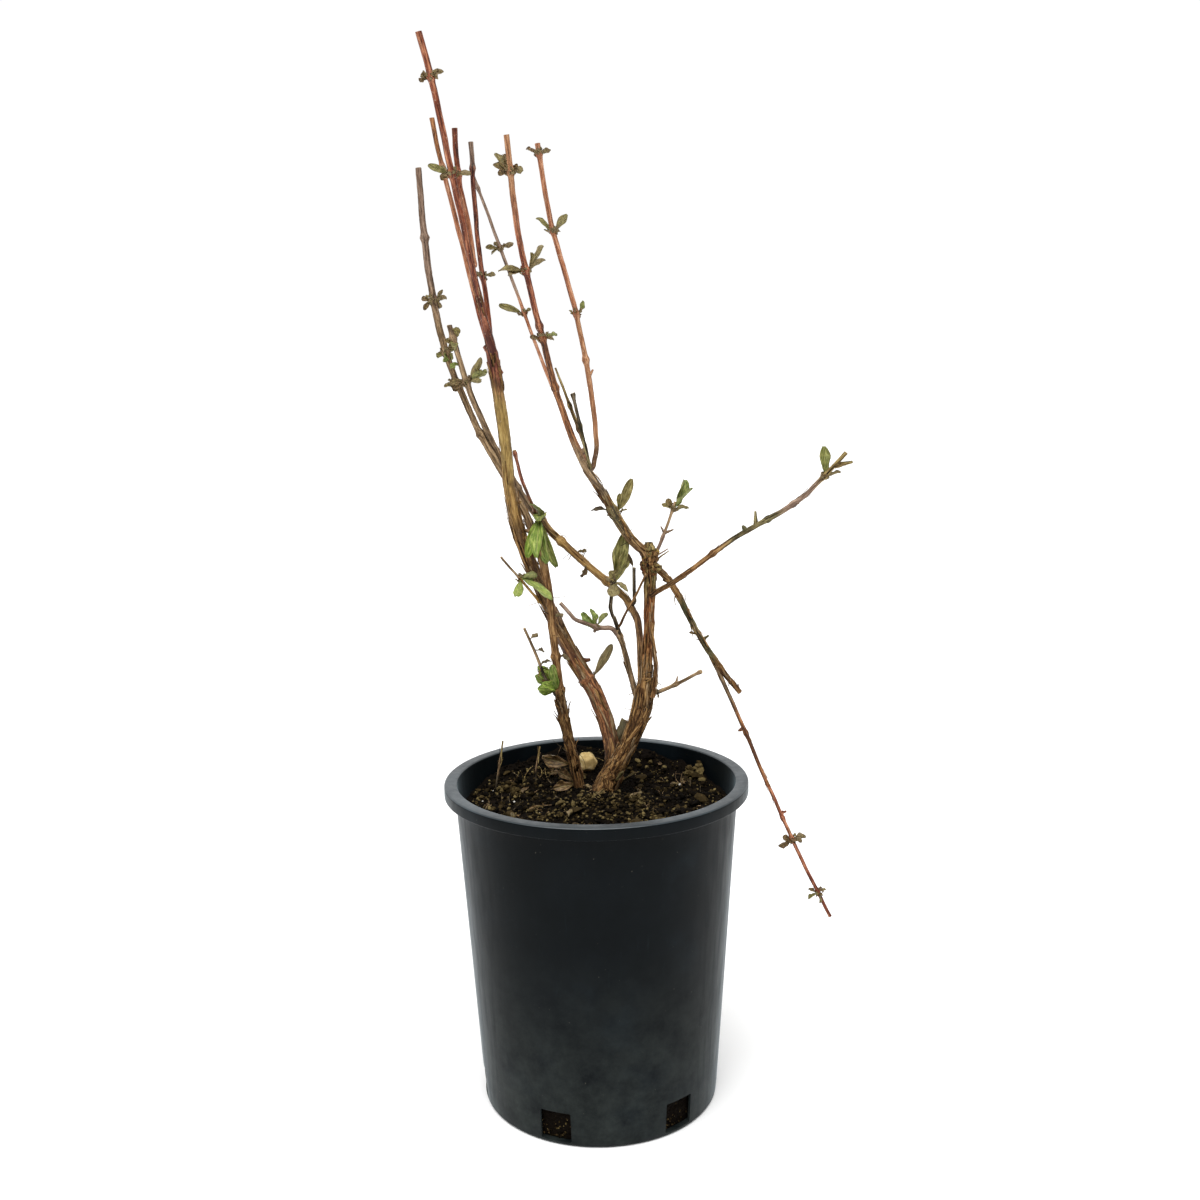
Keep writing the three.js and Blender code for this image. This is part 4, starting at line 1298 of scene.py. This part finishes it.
def add_mound_chips(build):
    """Pale chips heaped on the mound in front of the stems."""
    for _ in range(CHIPS_ON_MOUND):
        spot = Vector((rng.gauss(5, 20) * MM, rng.gauss(-22, 13) * MM, 0))
        if spot.length < SOIL_EDGE - 3 * MM:
            add_chip(build, spot, rng.uniform(-0.2, 1.2) * MM, rng.uniform(0.7, 2.8) * MM,
                     rng.uniform(0, 0.8))


def make_soil():
    build, crumbs = soil_body(), Build()
    add_clods(crumbs)
    add_mound_chips(crumbs)
    for count, small, large, flat, tints, slot in LITTER:
        for _ in range(count):
            size = small + (large - small) * rng.random() ** 2
            spot = spot_on_soil(1.5 * MM + size * 0.5 * MM)
            if slot == 1 and noise.noise(spot * 45) < rng.uniform(-0.35, 0.3):
                continue
            spot.z += size * MM * 0.18
            sides = (size * MM, size * MM * rng.uniform(0.5, 0.9), size * MM * flat)
            add_crumb(crumbs, spot, sides, rng.uniform(*tints), slot)
    crumbs_in_holes(build)
    for _ in range(LEAVES_ON_SOIL):
        spot = spot_on_soil(9 * MM)
        add_leaf(build, spot + UP * MM, aim(rng.uniform(0, 360), rng.uniform(-5, 25)),
                 rng.uniform(4, 11) * MM, rng.uniform(2, 5) * MM, rng.uniform(-60, 60),
                 rng.uniform(-0.9, -0.2), rng.uniform(0.5, 3), 0.5, 1.6, 4)
    for _ in range(ROOTS_ON_SOIL):
        spot = spot_on_soil(6 * MM)
        add_fibre(build, spot, aim(rng.uniform(0, 360), rng.uniform(-8, 28)),
                  rng.uniform(3, 11) * MM, rng.uniform(0.1, 0.3) * MM, rng.random(), 3)
    for _ in range(STRAWS_AT_BACK):
        spot = Vector((rng.uniform(-52, -18) * MM, rng.uniform(30, 52) * MM, 0))
        spot.z = soil_level(spot.x, spot.y)
        add_fibre(build, spot, aim(rng.uniform(0, 360), rng.uniform(15, 80)),
                  rng.uniform(6, 12) * MM, rng.uniform(0.3, 0.45) * MM, 1, 3)
    grains = [
        tinted("soil_grains", "#010101", "#110c07", "#58472d", 900, 0.9, 0.25 * MM),
        tinted("bark_chips", "#0d0904", "#3a2f1a", "#8a7a50", 700, 0.85, 0.2 * MM),
        tinted("perlite", "#b9b2a2", "#dcd6c8", "#f4f1e8", 1200, 0.7, 0.15 * MM),
        STRAW,
        LEAF,
    ]
    piece = crumbs.finish("soil_crumbs", grains[:3], smooth=False)
    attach(piece, "root")
    piece = build.finish("potting_mix", grains, smooth=False)
    stand_for(piece, "soil")


# ---- Stone and dry stalks --------------------------------------------------------------


def make_stone():
    """A rounded lump cut by twelve planes, scaled to the CAD stone's box."""
    low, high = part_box("stone")
    centre, size = (low + high) / 2, (high - low) / 2
    steps, sides = 22, 34
    planes = [(f, 0.88 + 0.12 * noise.noise(f * 2.3)) for f in ICO_POINTS]
    points = []
    for i in range(1, steps):
        polar = math.pi * i / steps
        for c, s in circle(sides):
            n = Vector((math.sin(polar) * c, math.sin(polar) * s, -math.cos(polar)))
            flats = min(depth / max(n.dot(f), 0.01) for f, depth in planes)
            lump = min(flats, 1.08) * (1 + 0.05 * noise.noise(n * 5))
            points.append(centre + Vector((n.x * size.x, n.y * size.y, n.z * size.z)) * lump)
    build = Build()
    build.add(points, ring_faces(steps - 1, sides), tint=0.5)
    piece = build.finish("pebble", [
        tinted("pebble_stone", "#8d7343", "#c9ad74", "#e6d6ac", 260, 0.7, 0.2 * MM, 0.9)])
    stand_for(piece, "stone")


def make_stalk(name):
    """A pale dry stalk standing in the soil, split at its upper end."""
    stem = Stem(name, None)
    stem.radius = [r * 0.7 for r in stem.radius]
    build = Build()
    rim = stem_skin(build, stem, 12, 0.1, [])
    cut_end(build, stem, rim)
    for _ in range(5):
        flake(build, stem, stem.along(rng.uniform(0.4, 0.9)), rng.uniform(0, 6.3),
              rng.uniform(3, 7) * MM, 0.5 * MM, 0.8 * MM, 0.4, 0)
    piece = build.finish(name + "_straw", [STRAW, CUT_WOOD])
    stand_for(piece, name)


# ---- Fine dead twigs and threads --------------------------------------------------------

# Threads and withered bits: stem, place along it, how many, longest mm, thickness mm.
THREADS = (
    ("main_cane", 0.42, 3, 12, 0.25), ("diagonal_cane", 0.42, 6, 16, 0.28),
    ("left_cane", 0.12, 3, 18, 0.2), ("left_cane", 0.22, 6, 11, 0.32),
    ("left_cane", 0.33, 4, 8, 0.3), ("right_cane", 0.42, 6, 10, 0.3),
    ("right_cane", 0.5, 5, 8, 0.35), ("drooping_branch", 0.3, 4, 7, 0.3),
    ("drooping_branch", 0.6, 5, 7, 0.3), ("low_cane", 0.8, 2, 9, 0.25),
    ("grey_spur", 0.4, 7, 7, 0.35), ("leaning_cane", 0.1, 3, 6, 0.35),
    ("right_strand", 0.7, 3, 9, 0.25),
)

# Withered leaves: stem, place, heading, climb, length mm, width mm, curl, tint.
DEAD_LEAVES = (
    ("main_cane", 0.09, 345, 60, 17, 12, 2.2, -1.1),
    ("left_cane", 0.065, 185, 18, 16, 9, 0.8, -0.2),
    ("left_cane", 0.03, 200, 0, 12, 7, 0.5, -0.4),
    ("left_cane", 0.02, 215, 10, 10, 5, 2.6, -0.3),
    ("left_cane", 0.035, 170, 30, 10, 6, 1.2, -0.45),
    ("left_cane", 0.03, 330, -10, 9, 4, 2.2, -0.3),
    ("right_cane", 0.05, 200, 20, 9, 4, 2.4, -0.3),
    ("right_cane", 0.03, 240, 5, 11, 5, 2.0, -0.3),
    ("right_cane", 0.02, 300, 0, 10, 4, 2.0, -0.4),
    ("right_cane", 0.1, 10, 30, 14, 2, 0.5, -0.1), ("left_cane", 0.24, 20, 10, 6, 4, 3.0, -0.8),
    ("left_cane", 0.3, 10, 30, 5, 3, 3.0, -0.7), ("grey_spur", 0.5, 20, 30, 6, 3, 2.0, -0.9),
    ("grey_spur", 0.7, 0, 10, 5, 3, 2.4, -0.9), ("grey_spur", 0.85, 30, 40, 5, 3, 2.4, -0.6),
    ("leaning_cane", 0.16, 200, 8, 9, 3, 3.4, -0.9),
    ("diagonal_cane", 0.97, 10, 78, 6, 5, 0.6, 0.2),
    ("diagonal_cane", 0.95, 180, 55, 6, 5, 0.5, 0.0),
    ("diagonal_cane", 0.94, 240, 50, 6, 5, 0.5, 0.4),
    ("diagonal_cane", 0.91, 200, -20, 5, 4, 0.8, 0.7),
    ("right_cane", 0.1, 250, -20, 12, 5, 1.6, -0.1),
    ("right_cane", 0.07, 215, 10, 11, 5, 2.2, -0.1),
    ("right_cane", 0.08, 300, -5, 10, 4, 2.0, -0.2),
    ("right_cane", 0.12, 300, 42, 13, 2.6, 0.2, 0.05),
    ("black_stub", 0.98, 160, 75, 9, 3, 3.0, -0.8),
    ("diagonal_cane", 0.4, 0, 20, 6, 3, 2.6, -0.8),
    ("diagonal_cane", 0.36, 250, -60, 7, 4, 2.6, -0.7),
    ("right_cane", 0.36, 150, 20, 6, 3, 2.8, -0.5),
    ("drooping_branch", 0.55, 200, 30, 4, 2, 2.0, -0.5),
    ("right_cane", 0.5, 350, -40, 7, 3, 2.6, -0.4),
)


def make_threads():
    build, leaves = Build(), Build()
    for name, place, count, longest, thick in THREADS:
        stem = stems[name]
        for _ in range(count):
            i = stem.along(min(max(place + rng.uniform(-0.06, 0.06), 0), 1))
            out = stem.outward(i, rng.uniform(0, 2 * math.pi))
            along = (out + UP * rng.uniform(-0.8, 0.9)).normalized()
            add_fibre(build, stem.axis[i] + out * stem.radius[i] * 0.8, along,
                      rng.uniform(0.3, 1) * longest * MM, thick * MM * rng.uniform(0.5, 1),
                      rng.random(), 0, 5, 14, rng.uniform(0.1, 0.5))
    for name, place, heading, climb, length, width, curl, tint in DEAD_LEAVES:
        stem = stems[name]
        i = stem.along(place)
        along = aim(heading, climb)
        add_leaf(leaves, stem.axis[i] + aim(heading, 0) * stem.radius[i] * 0.9, along, length * MM,
                 width * MM, rng.uniform(20, 80), tint, curl, 0.6, 1.6)
    piece = leaves.finish("withered_leaves", [LEAF])
    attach(piece, "root")
    piece = build.finish("withered_threads", [WITHERED])
    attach(piece, "root")


# ---- Stage: floor, light and camera ------------------------------------------------------

# Brightness all round, from the camera's side (0) to behind the plant (1).
SURROUNDINGS = ((0.1, 0.06), (0.45, 0.5), (0.9, 1))
CAMERA = {"place": (0, -0.6824, 0.3944), "pitch": -9.69, "roll": -0.85, "yaw": 0.29, "lens": 39}


def make_stage():
    build = Build()
    build.add([(-60, -60, 0), (60, -60, 0), (60, 60, 0), (-60, 60, 0)], [(0, 1, 2, 3)])
    floor = build.finish("floor", [floor_material()])
    world = bpy.data.worlds.new("studio")
    bpy.context.scene.world = world
    world.use_nodes = True
    tree = world.node_tree
    where = tree.nodes.new("ShaderNodeTexCoord")
    parts = tree.nodes.new("ShaderNodeSeparateXYZ")
    ramp = tree.nodes.new("ShaderNodeValToRGB")
    half = tree.nodes.new("ShaderNodeMapRange")
    half.inputs["From Min"].default_value = -1
    ramp.color_ramp.elements.new(0.5)
    for element, (place, grey) in zip(ramp.color_ramp.elements, SURROUNDINGS):
        element.position, element.color = place, (grey, grey, grey, 1)
    tree.links.new(where.outputs["Generated"], parts.inputs["Vector"])
    tree.links.new(parts.outputs["Y"], half.inputs["Value"])
    tree.links.new(half.outputs["Result"], ramp.inputs["Fac"])
    tree.links.new(ramp.outputs["Color"], tree.nodes["Background"].inputs["Color"])
    tree.nodes["Background"].inputs["Strength"].default_value = 1.02
    sun = bpy.data.lights.new("soft_sun", "SUN")
    sun.energy, sun.angle = 3.9, math.radians(60)
    light = bpy.data.objects.new("soft_sun", sun)
    light.rotation_euler = Vector((0.12, 0.6, -1.25)).to_track_quat("-Z", "Y").to_euler()
    bpy.context.scene.collection.objects.link(light)


def make_camera():
    data = bpy.data.cameras.new("camera")
    data.lens, data.sensor_width, data.clip_start = CAMERA["lens"], 36, 0.01
    camera = bpy.data.objects.new("camera", data)
    camera.location = CAMERA["place"]
    yaw, pitch = math.radians(CAMERA["yaw"]), math.radians(CAMERA["pitch"])
    forward = Vector((math.sin(yaw) * math.cos(pitch), math.cos(yaw) * math.cos(pitch),
                      math.sin(pitch)))
    camera.rotation_mode = "QUATERNION"
    level = forward.to_track_quat("-Z", "Y")
    camera.rotation_quaternion = level @ Quaternion(UP, math.radians(CAMERA["roll"]))
    bpy.context.scene.collection.objects.link(camera)
    bpy.context.scene.camera = camera
    bpy.context.scene.view_settings.view_transform = "Standard"


# ---- The whole object --------------------------------------------------------------------

make_stage()
make_camera()
make_pot()
make_soil()
make_stone()
for stem_name in STEMS:
    make_stem(stem_name)
for tuft_name in TUFTS:
    make_tuft(tuft_name)
for stalk_name in ("dry_stalk_left", "dry_stalk_middle", "dry_stalk_right"):
    make_stalk(stalk_name)
make_threads()
